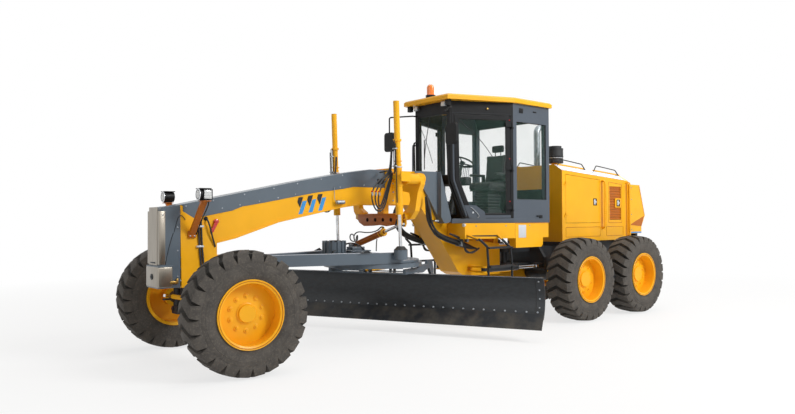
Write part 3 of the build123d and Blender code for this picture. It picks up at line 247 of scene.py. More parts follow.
def metal(name, light, dark, low_rough, high_rough, tarnish=None, metallic=1.0):
    """Bare metal: a reflecting skin that varies from light to dark, with brown tarnish in patches if named."""
    material, tree, shader, place = new_material(name)
    base = mixed(tree, between(tree, noise(tree, place, 0.05, 4), 0.35, 0.65), light, dark)
    if tarnish:
        base = mixed(tree, between(tree, noise(tree, place, 0.06, 7), 0.54, 0.75, 0.0, 0.6), base, tarnish)
    tree.links.new(base, shader.inputs["Base Color"])
    shader.inputs["Metallic"].default_value = metallic
    tree.links.new(between(tree, noise(tree, place, 0.012, 5), 0.3, 0.7, low_rough, high_rough),
                   shader.inputs["Roughness"])
    bumped(tree, shader, noise(tree, place, 0.006, 5), 0.0003, 0.3)
    return material


def chrome():
    """Hard chrome on cylinder rods, ground and polished: a bright mirror, only slightly clouded."""
    return metal("Chrome_rod", "DADCDF", "C2C6CA", 0.08, 0.2)


def bare_steel():
    """Zinc-plated and machined steel: mid grey with brown tarnish in patches."""
    return metal("Steel_zinc_plated", "A9AEB3", "868C92", 0.3, 0.5, "6B5F55", 0.85)


def brushed_steel():
    """Stainless steel, brushed upright: a soft silver-brown sheen with fine lines up and down."""
    material, tree, shader, place = new_material("Stainless_brushed")
    # brush lines are 0.3 mm apart on real plate, drawn at 6 mm
    drawn = add(tree, "ShaderNodeMapping", {"Vector": place, "Scale": (1.0, 1.0, 0.02)}).outputs[0]
    lines = noise(tree, drawn, 0.006, 3)
    tree.links.new(mixed(tree, lines, "A79F92", "7F7A72"), shader.inputs["Base Color"])
    shader.inputs["Metallic"].default_value = 0.9
    tree.links.new(between(tree, lines, 0.3, 0.7, 0.28, 0.42), shader.inputs["Roughness"])
    bumped(tree, shader, lines, 0.0002, 0.3)
    return material


def brass():
    """Brass fittings, turned and dulled: warm yellow-brown metal."""
    return metal("Brass_fitting", "C9A45A", "8F7440", 0.3, 0.5, "5F5138")


def blade_steel():
    """Blade plate, rolled and painted near black: low sheen, streaked along its length by soil."""
    material, tree, shader, place = new_material("Plate_blade_black")
    along = add(tree, "ShaderNodeMapping", {"Vector": place, "Rotation": (0, 0, -CIRCLE_TURN),
                                            "Scale": (6.0, 0.6, 6.0)}).outputs[0]
    streaks = between(tree, noise(tree, along, 0.25, 7, 0.65), 0.38, 0.7)
    base = mixed(tree, streaks, "1E2124", "2E3236")
    base = mixed(tree, maths(tree, "MULTIPLY", low_dust(tree, place, 0.5), 0.3), base, "6F6A62")
    tree.links.new(base, shader.inputs["Base Color"])
    shader.inputs["Metallic"].default_value = 0.2
    tree.links.new(between(tree, streaks, 0, 1, 0.36, 0.52), shader.inputs["Roughness"])
    bumped(tree, shader, noise(tree, along, 0.02, 6), 0.0006, 0.4)
    return material


def clear_glass(name, tint, deep, film_share, alpha):
    """Toughened float glass: clear with a tint, a thin film of dust and a hard gloss."""
    material, tree, shader, place = new_material(name)
    film = between(tree, noise(tree, place, 0.3, 6), 0.45, 0.8, 0.0, film_share)
    tree.links.new(mixed(tree, film, tint, deep), shader.inputs["Base Color"])
    tree.links.new(maths(tree, "ADD", alpha, film), shader.inputs["Alpha"])
    shader.inputs["Roughness"].default_value = 0.03
    shader.inputs["Specular IOR Level"].default_value = 0.25
    shader.inputs["IOR"].default_value = 1.5
    return material


def glow_lens(name, colour, shade, rough=0.12):
    """Moulded polycarbonate lens over a reflector: saturated colour, glossy, ribbed inside."""
    material, tree, shader, place = new_material(name)
    # ribs are 3 mm apart in a real lens, drawn at 9 mm
    ribs = add(tree, "ShaderNodeTexWave", {"Vector": place, "Scale": 1 / 0.009 / tau, "Distortion": 0.6},
               bands_direction="Z").outputs["Fac"]
    tree.links.new(mixed(tree, ribs, colour, shade), shader.inputs["Base Color"])
    shader.inputs["Roughness"].default_value = rough
    shader.inputs["Coat Weight"].default_value = 0.6
    bumped(tree, shader, ribs, 0.0008, 0.4)
    return material


def seat_vinyl():
    """Black seat cloth and vinyl, embossed and stitched: a soft sheen over a pebbled grain."""
    material, tree, shader, place = new_material("Vinyl_seat_black")
    grain = add(tree, "ShaderNodeTexVoronoi", {"Vector": place, "Scale": 1 / 0.006}, feature="F1").outputs["Distance"]
    tree.links.new(mixed(tree, noise(tree, place, 0.1, 4), "1A1D1E", "121415"), shader.inputs["Base Color"])
    shader.inputs["Roughness"].default_value = 0.6
    shader.inputs["Sheen Weight"].default_value = 0.2
    # pebbles are about 2 mm across on real vinyl, drawn at 6 mm
    bumped(tree, shader, grain, 0.0008, 0.6)
    return material


def dull(name, light, dark, rough, grain, depth=0.0004):
    """Moulded plastic or rubber: evenly matt, with the fine grain of its tool. It also draws the painted shade in holes
    and in the tyre's grooves.
    """
    material, tree, shader, place = new_material(name)
    tree.links.new(mixed(tree, noise(tree, place, 0.15, 4), light, dark), shader.inputs["Base Color"])
    shader.inputs["Roughness"].default_value = rough
    bumped(tree, shader, noise(tree, place, grain, 3), depth, 0.5)
    return material


def cast_iron():
    """Cast iron, sand cast and painted thinly: dark with a coarse skin."""
    return dull("Iron_cast", "3B3D40", "2E2F31", 0.62, 0.008, 0.001)


FINISHES = {}


def make_finishes():
    """All materials, by plain name."""
    colours = bpy.context.scene.grader_colours
    FINISHES.update({
        "yellow": paint("Enamel_yellow", colours.yellow, dust=0.08, coat=0.05, gloss=0.26),
        # painted shade: the yellow enamel darkened to brown-orange for yellow surfaces seen in shade; it also colours
        # the seam lines on the hood, skirt and tail
        "orange": paint("Enamel_yellow_painted_shade", "B8650A", rough=0.42, dust=0.1, coat=0.1, gloss=0.3),
        "grey": paint("Enamel_slate_grey", colours.grey, wear="8C949C", coat=0.2, gloss=0.4),
        "slate": paint("Enamel_cab_slate", colours.cab, rough=0.42, coat=0.15, gloss=0.35),
        "pale": paint("Enamel_pale_grey", "C9CED6"),
        "blue": paint("Film_stripe_blue", colours.stripe, dust=0.1),
        "dark": paint("Enamel_charcoal", "25282C", rough=0.45, coat=0.08, gloss=0.25),
        "black": paint("Powder_coat_black", colours.black, rough=0.5, dust=0.08, wear="2A2C30", coat=0.04, gloss=0.2),
        "rubber": tyre_rubber(),
        "chrome": chrome(),
        "steel": bare_steel(),
        "brushed": brushed_steel(),
        "brass": brass(),
        # painted shade: darker rubber for the floor of the tread between the lugs
        "groove": dull("Rubber_groove_painted_shade", "26241F", "1C1B19", 0.95, 0.006),
        "blade": blade_steel(),
        "glass": clear_glass("Glass_cab_tinted", "6E9488", "A9BAB2", 0.03, 0.05),
        "lens": glow_lens("Lens_lamp_clear", "E4E6E6", "B9BDBE"),
        "amber": glow_lens("Lens_amber", "FF8A10", "F07A06"),
        "red": glow_lens("Lens_red", "D8201C", "A81412"),
        "vinyl": seat_vinyl(),
        "plastic": dull("ABS_moulded_dark", "2A2C2E", "1F2123", 0.6, 0.004),
        "hose": dull("Rubber_hose_black", "1C1D1E", "141516", 0.5, 0.003),
        # painted shade: a near-black matt fill over holes, ports and slots, where there is only shade
        "void": dull("Opening_painted_shade", "101112", "0B0C0D", 0.9, 0.01),
        "cast": cast_iron(),
    })


# node name and the finish that it is given
NODE_FINISH = {
    "front_frame": "yellow", "cowls": "grey", "front_axle": "dark", "lift_saddle": "yellow",
    "lamps_and_mirrors": "black", "cab_frame": "black", "cab_roof": "yellow", "seat": "vinyl",
    "controls": "plastic", "platform": "yellow", "rear_frame": "dark", "tandem_cases": "yellow", "hood": "yellow",
    "tail_box": "yellow", "engine": "cast", "exhaust": "steel", "lean_bar": "dark", "tie_rod_end": "dark",
    "tie_rod": "dark", "drawbar": "grey", "circle": "grey", "blade_carrier": "dark", "moldboard": "blade",
    "cutting_edge": "dark", "tip_barrel": "yellow", "tip_rod": "chrome", "centre_shift_rod": "chrome",
    # painted shade: the centre shift barrel takes the brown-orange enamel of shaded yellow
    "centre_shift_barrel": "orange",
}
SIDED_FINISH = {
    "lean_yoke": "dark", "knuckle": "dark", "steering_barrel": "yellow", "steering_rod": "chrome",
    "lift_barrel": "yellow", "lift_rod": "chrome", "articulation_barrel": "dark", "articulation_rod": "chrome",
    "cab_door": "black", "hood_door": "yellow", "tyre": "rubber", "rim": "yellow",
}


def in_box(low, high):
    """Test of whether a face lies inside a box between two corners in millimetres."""
    return lambda points: all(a - TOLERANCE <= c <= b + TOLERANCE for p in points for a, c, b in zip(low, p, high))


def in_door(outer, inner):
    """Test of whether a face lies between two depths behind the doors' outer planes."""
    def test(points):
        depths = [(Vector((p.x, abs(p.y), 0)) - DOOR_POST).dot(DOOR_INWARDS) for p in points]
        return all(outer - TOLERANCE <= depth <= inner + TOLERANCE for depth in depths)
    return test


# node, finish and test: the faces of a node that have another finish than the rest of it
FACE_FINISH = (
    ("cab_frame", "glass", in_box((245, -319, 2291), (251, 319, 3209))),
    ("cab_frame", "glass", in_box((60, -339, 1701), (240, 339, 2149.5))),
    ("cab_frame", "glass", in_box((-1439, 785, 1930), (-731, 791, 3119))),
    ("cab_frame", "glass", in_box((-1439, -791, 1930), (-731, -785, 3119))),
    ("cab_frame", "glass", in_box((-1495, -699, 2101), (-1489, 699, 3199))),
    ("cab_frame", "slate", in_box((-1525, 700, 1571), (-648, 830, 3400))),
    ("cab_frame", "slate", in_box((-1525, -830, 1571), (-648, -700, 3400))),
    ("cab_door_left", "glass", in_door(14, 20)),
    ("cab_door_right", "glass", in_door(14, 20)),
    # painted shade: the down-facing plates of the lamp brackets take the brown-orange enamel
    ("lamps_and_mirrors", "orange", in_box((4130, -600, 1400), (4204, 600, 1857))),
    ("lamps_and_mirrors", "amber", in_box((-2000, -900, 3519), (400, 900, 3700))),
    ("platform", "dark", in_box((-620, 555, 560), (140, 920, 1395))),
    ("platform", "dark", in_box((-620, -920, 560), (140, -555, 1395))),
    ("hood", "plastic", in_box((-2620, 55, 2570), (-2335, 345, 2910))),
    # painted shade: the faces recessed in the rear hatch, its grille pocket, take the brown-orange enamel
    ("hood", "orange", in_box((-3890, 584, 1600), (-3516, 599.4, 2211))),
    ("hood", "orange", in_box((-3890, -599.4, 1600), (-3516, -584, 2211))),
)


def finish_nodes():
    """Gives each carried-over node its finish, and its odd faces theirs."""
    for name, node in NODES.items():
        key = NODE_FINISH.get(name) or next(SIDED_FINISH[k] for k in SIDED_FINISH if name.startswith(k))
        mesh = node.data
        mesh.materials.clear()
        mesh.materials.append(FINISHES[key])
        for face in mesh.polygons:
            face.material_index = 0
        finish_faces(mesh, name)


def finish_faces(mesh, name):
    """Gives the faces of a node's mesh the other finishes that they have by their place."""
    rules = [(finish, test) for target, finish, test in FACE_FINISH if target == name]
    slots = {}
    points = [v.co / MM for v in mesh.vertices]
    for face in mesh.polygons if rules else ():
        corners = [points[k] for k in face.vertices]
        for finish, test in rules:
            if test(corners):
                if finish not in slots:
                    slots[finish] = len(mesh.materials)
                    mesh.materials.append(FINISHES[finish])
                face.material_index = slots[finish]
                break


# ---------------------------------------------------------------- makers: places and sizes in millimetres
def fresh():
    """Object mode with nothing selected."""
    if bpy.context.object and bpy.context.object.mode != "OBJECT":
        bpy.ops.object.mode_set(mode="OBJECT")
    bpy.ops.object.select_all(action="DESELECT")


def only(piece):
    """Selects one piece and makes it active."""
    fresh()
    piece.select_set(True)
    bpy.context.view_layer.objects.active = piece
    return piece


def modified(piece, kind, **settings):
    """Adds a modifier and applies it."""
    only(piece)
    modifier = piece.modifiers.new(kind.title(), kind)
    for key, value in settings.items():
        setattr(modifier, key, value)
    bpy.ops.object.modifier_apply(modifier=modifier.name)
    return piece


def rounded(piece, width, segments=2):
    """Rounds the piece's sharp edges."""
    return modified(piece, "BEVEL", width=width * MM, segments=segments, limit_method="ANGLE",
                    angle_limit=radians(32))


def block(x, y, z, bevel=4, segments=2):
    """Block between pairs of x, y and z values, its edges rounded."""
    fresh()
    sides = [(min(pair), max(pair)) for pair in (x, y, z)]
    bpy.ops.mesh.primitive_cube_add(size=1, location=[(a + b) / 2 * MM for a, b in sides],
                                    scale=[(b - a) * MM for a, b in sides])
    bpy.ops.object.transform_apply(location=True, rotation=True, scale=True)
    return rounded(bpy.context.object, bevel, segments) if bevel else bpy.context.object


def plate(outline, depth, bevel=2, segments=1):
    """Plate from an outline of points in space, drawn out along a depth vector."""
    fresh()
    bpy.ops.mesh.primitive_circle_add(vertices=len(outline), radius=1, fill_type="NGON")
    piece = bpy.context.object
    for vertex, place in zip(piece.data.vertices, outline):
        vertex.co = Vector(place) * MM
    bpy.ops.object.mode_set(mode="EDIT")
    bpy.ops.mesh.select_all(action="SELECT")
    bpy.ops.mesh.extrude_region_move(TRANSFORM_OT_translate={"value": Vector(depth) * MM})
    bpy.ops.mesh.select_all(action="SELECT")
    bpy.ops.mesh.normals_make_consistent(inside=False)
    bpy.ops.object.mode_set(mode="OBJECT")
    return rounded(piece, bevel, segments) if bevel else piece


def side_plate(outline, y_low, y_high, bevel=2, segments=1):
    """Plate from (x, z) points, between two y values."""
    return plate([(x, y_low, z) for x, z in outline], (0, y_high - y_low, 0), bevel, segments)


def cross_plate(outline, x_low, x_high, bevel=2, segments=1):
    """Plate from (y, z) points, between two x values."""
    return plate([(x_low, y, z) for y, z in outline], (x_high - x_low, 0, 0), bevel, segments)


def turned(start, axis, steps, sides=24):
    """Round piece: a circle pushed along an axis from start, through (distance, radius) steps."""
    fresh()
    distance, radius = steps[0]
    bpy.ops.mesh.primitive_circle_add(vertices=sides, radius=radius * MM, fill_type="NGON",
                                      location=(0, 0, distance * MM))
    piece = bpy.context.object
    bpy.ops.object.transform_apply(location=True, rotation=True, scale=True)
    bpy.ops.object.mode_set(mode="EDIT")
    bpy.ops.mesh.select_all(action="SELECT")
    for (before, wide), (after, narrow) in zip(steps, steps[1:]):
        share = narrow / wide
        bpy.ops.mesh.extrude_region_move(TRANSFORM_OT_translate={"value": (0, 0, (after - before) * MM)})
        if share != 1:
            bpy.ops.transform.resize(value=(share, share, 1), center_override=(0, 0, after * MM))
    bpy.ops.mesh.select_all(action="SELECT")
    bpy.ops.mesh.normals_make_consistent(inside=False)
    bpy.ops.object.mode_set(mode="OBJECT")
    turn = Vector(axis).to_track_quat("Z", "Y").to_matrix().to_4x4()
    piece.data.transform(Matrix.Translation(Vector(start) * MM) @ turn)
    return piece


def hose(points, radius, sides=10, order=3, cyclic=False):
    """Bent tube or hose that follows points in a smooth line."""
    fresh()
    bpy.ops.curve.primitive_nurbs_path_add()
    curve = bpy.context.object.data
    curve.splines.clear()
    spline = curve.splines.new("NURBS")
    spline.points.add(len(points) - 1)
    for target, place in zip(spline.points, points):
        target.co = (*(Vector(place) * MM), 1)
    spline.order_u = order
    spline.use_endpoint_u = not cyclic
    spline.use_cyclic_u = cyclic
    spline.resolution_u = 5
    curve.dimensions = "3D"
    curve.bevel_depth = radius * MM
    curve.bevel_resolution = max(0, sides // 4 - 1)
    curve.use_fill_caps = True
    bpy.ops.object.convert(target="MESH")
    return bpy.context.object


def joined(pieces):
    """One piece, or several as one."""
    pieces = pieces if isinstance(pieces, list) else [pieces]
    fresh()
    for piece in pieces:
        piece.select_set(True)
    bpy.context.view_layer.objects.active = pieces[0]
    if len(pieces) > 1:
        bpy.ops.object.join()
    return bpy.context.object


def copy_of(piece, matrix):
    """A copy with its own mesh, moved by a matrix in metres."""
    other = piece.copy()
    other.data = piece.data.copy()
    bpy.context.scene.collection.objects.link(other)
    other.data.transform(matrix)
    if matrix.to_3x3().determinant() < 0:
        other.data.flip_normals()
    return other


def copied(piece, matrices):
    """Copies of a piece, one for each matrix, joined; the piece itself goes."""
    made = [copy_of(piece, matrix) for matrix in matrices]
    bpy.data.objects.remove(piece)
    return joined(made)


MIRROR = Matrix.Scale(-1, 4, LEFT)


def round_places(count, radius, first=0.0):
    """Even places on a circle, as pairs; first is how many steps round it the first one lies."""
    turns = [tau * (k + first) / count for k in range(count)]
    return [(radius * cos(turn), radius * sin(turn)) for turn in turns]


def both_sides(piece):
    """The piece and its mirror image as one."""
    return joined([piece, copy_of(piece, MIRROR)])


def moved(x, y, z):
    return Matrix.Translation(Vector((x, y, z)) * MM)


def about(axis, angle, x=0, y=0, z=0):
    """Turn by an angle about an axis letter through a point."""
    return moved(x, y, z) @ Matrix.Rotation(angle, 4, axis) @ moved(-x, -y, -z)


def bolt(size, washer=True):
    """Hexagon bolt head pointing along Z, with its washer."""
    head = turned((0, 0, 0), UP, [(0, size * 0.9), (size * 0.95, size * 0.9), (size * 1.15, size * 0.72)], 6)
    if not washer:
        return head
    ring = turned((0, 0, 0), UP, [(-1, size * 1.3), (size * 0.22, size * 1.3), (size * 0.3, size * 1.15)], 12)
    return joined([head, ring])


def bolts(places, axis, size, washer=True):
    """Bolt heads of one size at several places, all facing along one axis."""
    turn = Vector(axis).to_track_quat("Z", "Y").to_matrix().to_4x4()
    return copied(bolt(size, washer), [moved(*place) @ turn for place in places])


def finished(piece, name, body, finish, angle=35):
    """Names a piece, or several as one, gives it its finish and lets it ride on its body."""
    piece = only(joined(piece))
    piece.name = name
    piece.data.name = name
    piece.data.materials.clear()
    piece.data.materials.append(FINISHES[finish])
    for face in piece.data.polygons:
        face.material_index = 0
    bpy.ops.object.shade_smooth_by_angle(angle=radians(angle))
    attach(piece, body)
    return piece


def sided(pieces, name, body, finish):
    """One or several pieces and their mirror images, finished as one."""
    return finished(both_sides(joined(pieces)), name, body, finish)


# ---------------------------------------------------------------- wheels
# half of the tyre's outline from its middle to its bead: distance from the middle and radius
TYRE_HALF = ((0, 632), (75, 631), (140, 626), (166, 608), (182, 584), (196, 560), (209, 540), (214, 538), (219, 524),
             (221, 505), (221, 486), (223, 484), (223, 478), (221, 476), (219, 452), (212, 424), (203, 398), (199, 393),
             (196, 384), (194, 368), (189, 362))
# stations along half of a lug: base distance and radius, top distance and radius, and half angles of base and top
LUG_HALF = ((0, 628, 0, 665, 5.4, 4.6), (60, 627, 60, 660.5, 5.4, 4.6), (120, 624, 120, 654, 5.5, 4.7),
            (150, 612, 166, 649, 5.6, 4.8), (166, 596, 196, 642, 5.8, 5.0), (180, 578, 209, 610, 6.4, 5.8),
            (190, 560, 217, 578, 7.0, 6.7), (202, 540, 220, 550, 7.5, 7.4), (214, 530, 216, 532, 7.5, 7.5))
CHEVRON_LEAD = radians(8.5)


def make_tyre():
    """Tyre about the Y axis: a spun carcass, and one chevron lug copied round it."""
    outline = [(-y, r) for y, r in reversed(TYRE_HALF)] + list(TYRE_HALF[1:])
    lugs = bpy.context.scene.grader_sizes.lugs
    carcass = hollowed(turned((0, 0, 0), LEFT, outline, 96))
    fresh()
    stations = [(-a, b, -c, *rest) for a, b, c, *rest in reversed(LUG_HALF[1:])] + list(LUG_HALF)
    last = len(stations) - 1
    bpy.ops.mesh.primitive_grid_add(x_subdivisions=3, y_subdivisions=last, size=1)
    lug = bpy.context.object
    for vertex in lug.data.vertices:
        across, along = round((vertex.co.x + 0.5) * 3), round((vertex.co.y + 0.5) * last)
        base_y, base_r, top_y, top_r, base_half, top_half = stations[along]
        low = across in (0, 3) or along in (0, last)
        y, r, half = (base_y, base_r, base_half) if low else (top_y, top_r, top_half)
        angle = radians(-half if across < 2 else half) - CHEVRON_LEAD * min(abs(y) / 196, 1.0)
        vertex.co = Vector((r * cos(angle), y, r * sin(angle))) * MM
    lug = copied(lug, [Matrix.Rotation(tau * k / lugs, 4, "Y") for k in range(lugs)])
    for piece in (carcass, lug):
        only(piece)
        bpy.ops.object.mode_set(mode="EDIT")
        bpy.ops.mesh.select_all(action="SELECT")
        bpy.ops.mesh.normals_make_consistent(inside=False)
        bpy.ops.object.mode_set(mode="OBJECT")
    # the floor of the tread, between the lugs, takes a darker rubber as painted shade in the grooves
    grooves = {face.index for face in carcass.data.polygons
               if hypot(face.center.x, face.center.z) > 0.545}
    return joined([carcass, lug]), grooves


def hollowed(piece):
    """Takes the flat ends off a round piece."""
    only(piece)
    bpy.ops.object.mode_set(mode="EDIT")
    bpy.ops.mesh.select_mode(type="FACE")
    bpy.ops.mesh.select_all(action="DESELECT")
    bpy.ops.object.mode_set(mode="OBJECT")
    for face in piece.data.polygons:
        face.select = len(face.vertices) > 4
    bpy.ops.object.mode_set(mode="EDIT")
    bpy.ops.mesh.delete(type="FACE")
    bpy.ops.mesh.select_mode(type="VERT")
    bpy.ops.object.mode_set(mode="OBJECT")
    return piece


def wheel_places():
    """Name, body, matrix and outboard side of each wheel."""
    for row in ("front", "middle", "rear"):
        for side, sign in (("left", 1), ("right", -1)):
            low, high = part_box(f"tyre_{row}_{side}")
            centre = Matrix.Translation((Vector(low) + Vector(high)) / 2)
            steer = Matrix.Rotation(STEER_AT_REST if row == "front" else 0, 4, "Z")
            yield f"{row}_{side}", f"wheel_{row}_{side}", centre @ steer, sign


def rim_trim(front):
    """A left rim's fine parts: wheel nuts on their bosses, the lock ring's bright edges, a hub ring and a valve."""
    # bolt circle, hub ring's outer radius and how far out of the wheel's middle the disc stands
    ring, hub_r, face = (178, 112, 60) if front else (205, 142, 60)
    nuts = bolts([(x, face - 5, z) for x, z in round_places(10, ring, 0.5)], LEFT, 17)
    bosses = copied(turned((ring, face - 12, 0), LEFT, [(0, 32), (10, 28), (11, 20)], 16),
                    [Matrix.Rotation(tau * (k + 0.5) / 10, 4, "Y") for k in range(10)])
    hub = turned((0, face, 0), LEFT, [(-8, hub_r), (8, hub_r), (12, hub_r - 6), (12, hub_r - 16)], 40)
    lock = hollowed(turned((0, 0, 0), LEFT, [(196, 340), (206, 349), (211, 356), (213, 361), (210, 365), (202, 366),
                                             (196, 362)], 72))
    inner = hollowed(turned((0, 0, 0), LEFT, [(168, 328), (176, 332), (180, 338), (178, 326), (168, 324)], 72))
    valve = hose([(0, 150, 318), (0, 168, 306), (0, 186, 300)], 4)
    # the second piece, a thin ring in the rim's groove, is drawn in brown-orange enamel as painted shade
    return joined([nuts, bosses, hub, lock, inner, valve]), hollowed(
        turned((0, 0, 0), LEFT, [(200, 342), (214, 345), (214, 350), (200, 353)], 72))


class GRADER_OT_tyres(bpy.types.Operator):
    """Add the six tyres, each with its chevron tread"""
    bl_idname = "grader.tyres"
    bl_label = "Tyres"

    def execute(self, context):
        tyre, grooves = make_tyre()
        for name, body, matrix, _ in wheel_places():
            piece = finished(copy_of(tyre, matrix), f"tread_{name}", body, "rubber", 28)
            piece.data.materials.append(FINISHES["groove"])
            for index in grooves:
                piece.data.polygons[index].material_index = 1
            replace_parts(piece, f"tyre_{name}")
        bpy.data.objects.remove(tyre)
        return {"FINISHED"}


class GRADER_OT_rims(bpy.types.Operator):
    """Add the wheel nuts, hub rings and lock rings"""
    bl_idname = "grader.rims"
    bl_label = "Rim trim"

    def execute(self, context):
        trims = {True: rim_trim(True), False: rim_trim(False)}
        for name, body, matrix, sign in wheel_places():
            # the groove ring takes the brown-orange enamel as painted shade
            for trim, label, finish in zip(trims[name.startswith("front")], ("trim", "groove"), ("yellow", "orange")):
                piece = copy_of(trim, matrix @ (MIRROR if sign < 0 else Matrix()))
                finished(piece, f"rim_{label}_{name}", body, finish)
        for trim in trims[True] + trims[False]:
            bpy.data.objects.remove(trim)
        return {"FINISHED"}


# ---------------------------------------------------------------- beam
STRIPES = (((2742, 1708), (2682, 1715), (2616, 1885), (2682, 1875)),
           ((2593, 1731), (2529, 1738), (2471, 1909), (2531, 1899)),
           ((2444, 1752), (2382, 1761), (2318, 1935), (2382, 1925)))
STRIPE_HOOKS = (((2741, 1923), (2674, 1931), (2721, 1798), (2758, 1864)),
                ((2594, 1946), (2525, 1956), (2574, 1817), (2611, 1893)),
                ((2446, 1968), (2378, 1977), (2420, 1842), (2459, 1916)))
COVER_LOW = ((4149, 1660), (3660, 1753), (3523, 1804), (3288, 1842), (2791, 1934), (2474, 1991), (2065, 2046),
             (1877, 2080), (1335, 2080))
BEAM_TOP = ((4300, 1812), (2718, 2130), (2016, 2259), (1589, 2324))
FLANGE = ((3855, 1385), (3614, 1436), (3030, 1622), (2065, 1812), (1737, 1853), (345, 1852))


def strip_along(points, y_low, y_high, low, high, bevel=2):
    """Bar that follows points on the machine's side, from low to high above them."""
    outline = [(x, z + low) for x, z in points] + [(x, z + high) for x, z in reversed(points)]
    return side_plate(outline, y_low, y_high, bevel)


class GRADER_OT_beam(bpy.types.Operator):
    """Add the beam's cover plates, stripes, flange strips and bolts, and the neck's hoses and red tap"""
    bl_idname = "grader.beam"
    bl_label = "Beam"

    def execute(self, context):
        cover = side_plate([*COVER_LOW, (1335, 2330), (1589, 2328), *((x, z + 5) for x, z in reversed(BEAM_TOP[:3])),
                            (4262, 1804), (4262, 1665)], BEAM_SIDE - 1, BEAM_SIDE + 7)
        lid = side_plate([(x, z - 2) for x, z in BEAM_TOP] + [(x, z + 5) for x, z in reversed(BEAM_TOP)],
                         -BEAM_SIDE, BEAM_SIDE, 0)
        finished([both_sides(cover), lid], "beam_covers", "front", "grey")
        stripes = [side_plate(outline, BEAM_SIDE - 1, BEAM_SIDE + 0.8, 0) for outline in STRIPES]
        sided(stripes, "stripes_blue", "front", "blue")
        hooks = [side_plate(outline, BEAM_SIDE, BEAM_SIDE + 8, 0.8) for outline in STRIPE_HOOKS]
        sided(hooks, "stripes_dark", "front", "dark")
        sided(strip_along(FLANGE, BEAM_SIDE - 10, BEAM_SIDE + 14, -14, 6, 3), "beam_flange", "front", "yellow")
        low = [(3787, 1767), (3560, 1806), (3300, 1852), (3040, 1900), (2791, 1948), (2100, 2056), (1700, 2094)]
        high = [(4230, 1800), (3900, 1868), (3500, 1948), (3100, 2028), (2760, 2098), (2400, 2165), (2060, 2228)]
        heads = bolts([(x, BEAM_SIDE + 7, z + 14) for x, z in low] + [(x, BEAM_SIDE + 7, z) for x, z in high], LEFT, 7)
        sided(heads, "beam_bolts", "front", "steel")
        # the plate between beam and nose: a row of bolts down each side
        nose = bolts([(4288, BEAM_SIDE, z) for z in (960, 1090, 1220, 1350, 1480, 1638)], LEFT, 7)
        sided(nose, "neck_bolts", "front", "steel")
        tubes = [hose([(x, 168, 1690), (x - 3, 186, 1640), (x - 12, 184, 1400), (x - 30, 182, 1180), (x - 60, 170, 960),
                       (x - 90, 120, 900)], 11) for x in (4060, 4092)]
        tubes.append(hose([(3990, 150, 1660), (3985, 200, 1655), (3960, 214, 1560), (3925, 200, 1440),
                           (3880, 175, 1330)], 10))
        finished(tubes, "neck_hoses", "front", "hose")
        clamps = [block((4030, 4110), (158, 202), (z, z + 22), 3) for z in (1330, 1560)]
        finished(clamps, "neck_clamps", "front", "pale")
        # painted shade: a near-black disc over the port's opening
        port = turned((3990, BEAM_SIDE, 1660), LEFT, [(0, 24), (8, 24), (10, 16)], 20)
        finished(port, "neck_port", "front", "void")
        tap = joined([plate([(3880, 176, 1640), (3840, 176, 1622), (3905, 176, 1500), (3935, 176, 1490),
                             (3940, 176, 1515)], (0, 14, 0), 5, 2),
                      turned((3865, 158, 1625), LEFT, [(0, 30), (24, 30), (32, 24), (36, 10)], 16)])
        finished(tap, "battery_tap", "front", "red")
        return {"FINISHED"}


# ---------------------------------------------------------------- nose
NOSE_SEAMS = (((4372, 1506), (4340, 1640), (4310, 1699), (4270, 1690), (4243, 1647)),
              ((4380, 1500), (4440, 1330), (4470, 1150)))


class GRADER_OT_nose(bpy.types.Operator):
    """Add the nose's brushed strip and box, its lugs, seams and bolts, and the tow pin"""
    bl_idname = "grader.nose"
    bl_label = "Nose"

    def execute(self, context):
        strip = cross_plate([(-120, 1140), (120, 1140), (120, 1790), (-120, 1790)], 4536, 4546, 3)
        sides = both_sides(block((4470, 4542), (112, 178), (1150, 1745), 5))
        finished([strip, sides], "nose_strip", "front", "brushed")
        box = block((4388, 4557), (-186, 186), (892, 1125), 14, 3)
        finished(box, "nose_weight_box", "front", "brushed")
        cap = both_sides(block((4388, 4552), (150, 184), (1120, 1134), 3))
        finished(cap, "nose_box_lid", "front", "grey")
        lug = joined([block((4330, 4420), (176, 192), (930, 962), 6), block((4330, 4352), (176, 200), (930, 990), 4)])
        sided(lug, "nose_lift_lugs", "front", "brass")
        seams = [hose([(x, NOSE_SIDE, z) for x, z in places], 4, 8) for places in NOSE_SEAMS]
        sided(seams, "nose_side_seams", "front", "dark")
        heads = bolts([(4330, NOSE_SIDE, z) for z in (1010, 1300, 1560)] + [(4500, NOSE_SIDE, 1700)], LEFT, 7)
        sided(heads, "nose_bolts", "front", "steel")
        pin = turned((4557, 0, 1010), AHEAD, [(-20, 34), (6, 34), (9, 28), (9, 16), (2, 14)], 28)
        finished([pin, block((4535, 4550), (-70, 70), (1160, 1176), 2)], "tow_pin", "front", "dark")
        return {"FINISHED"}


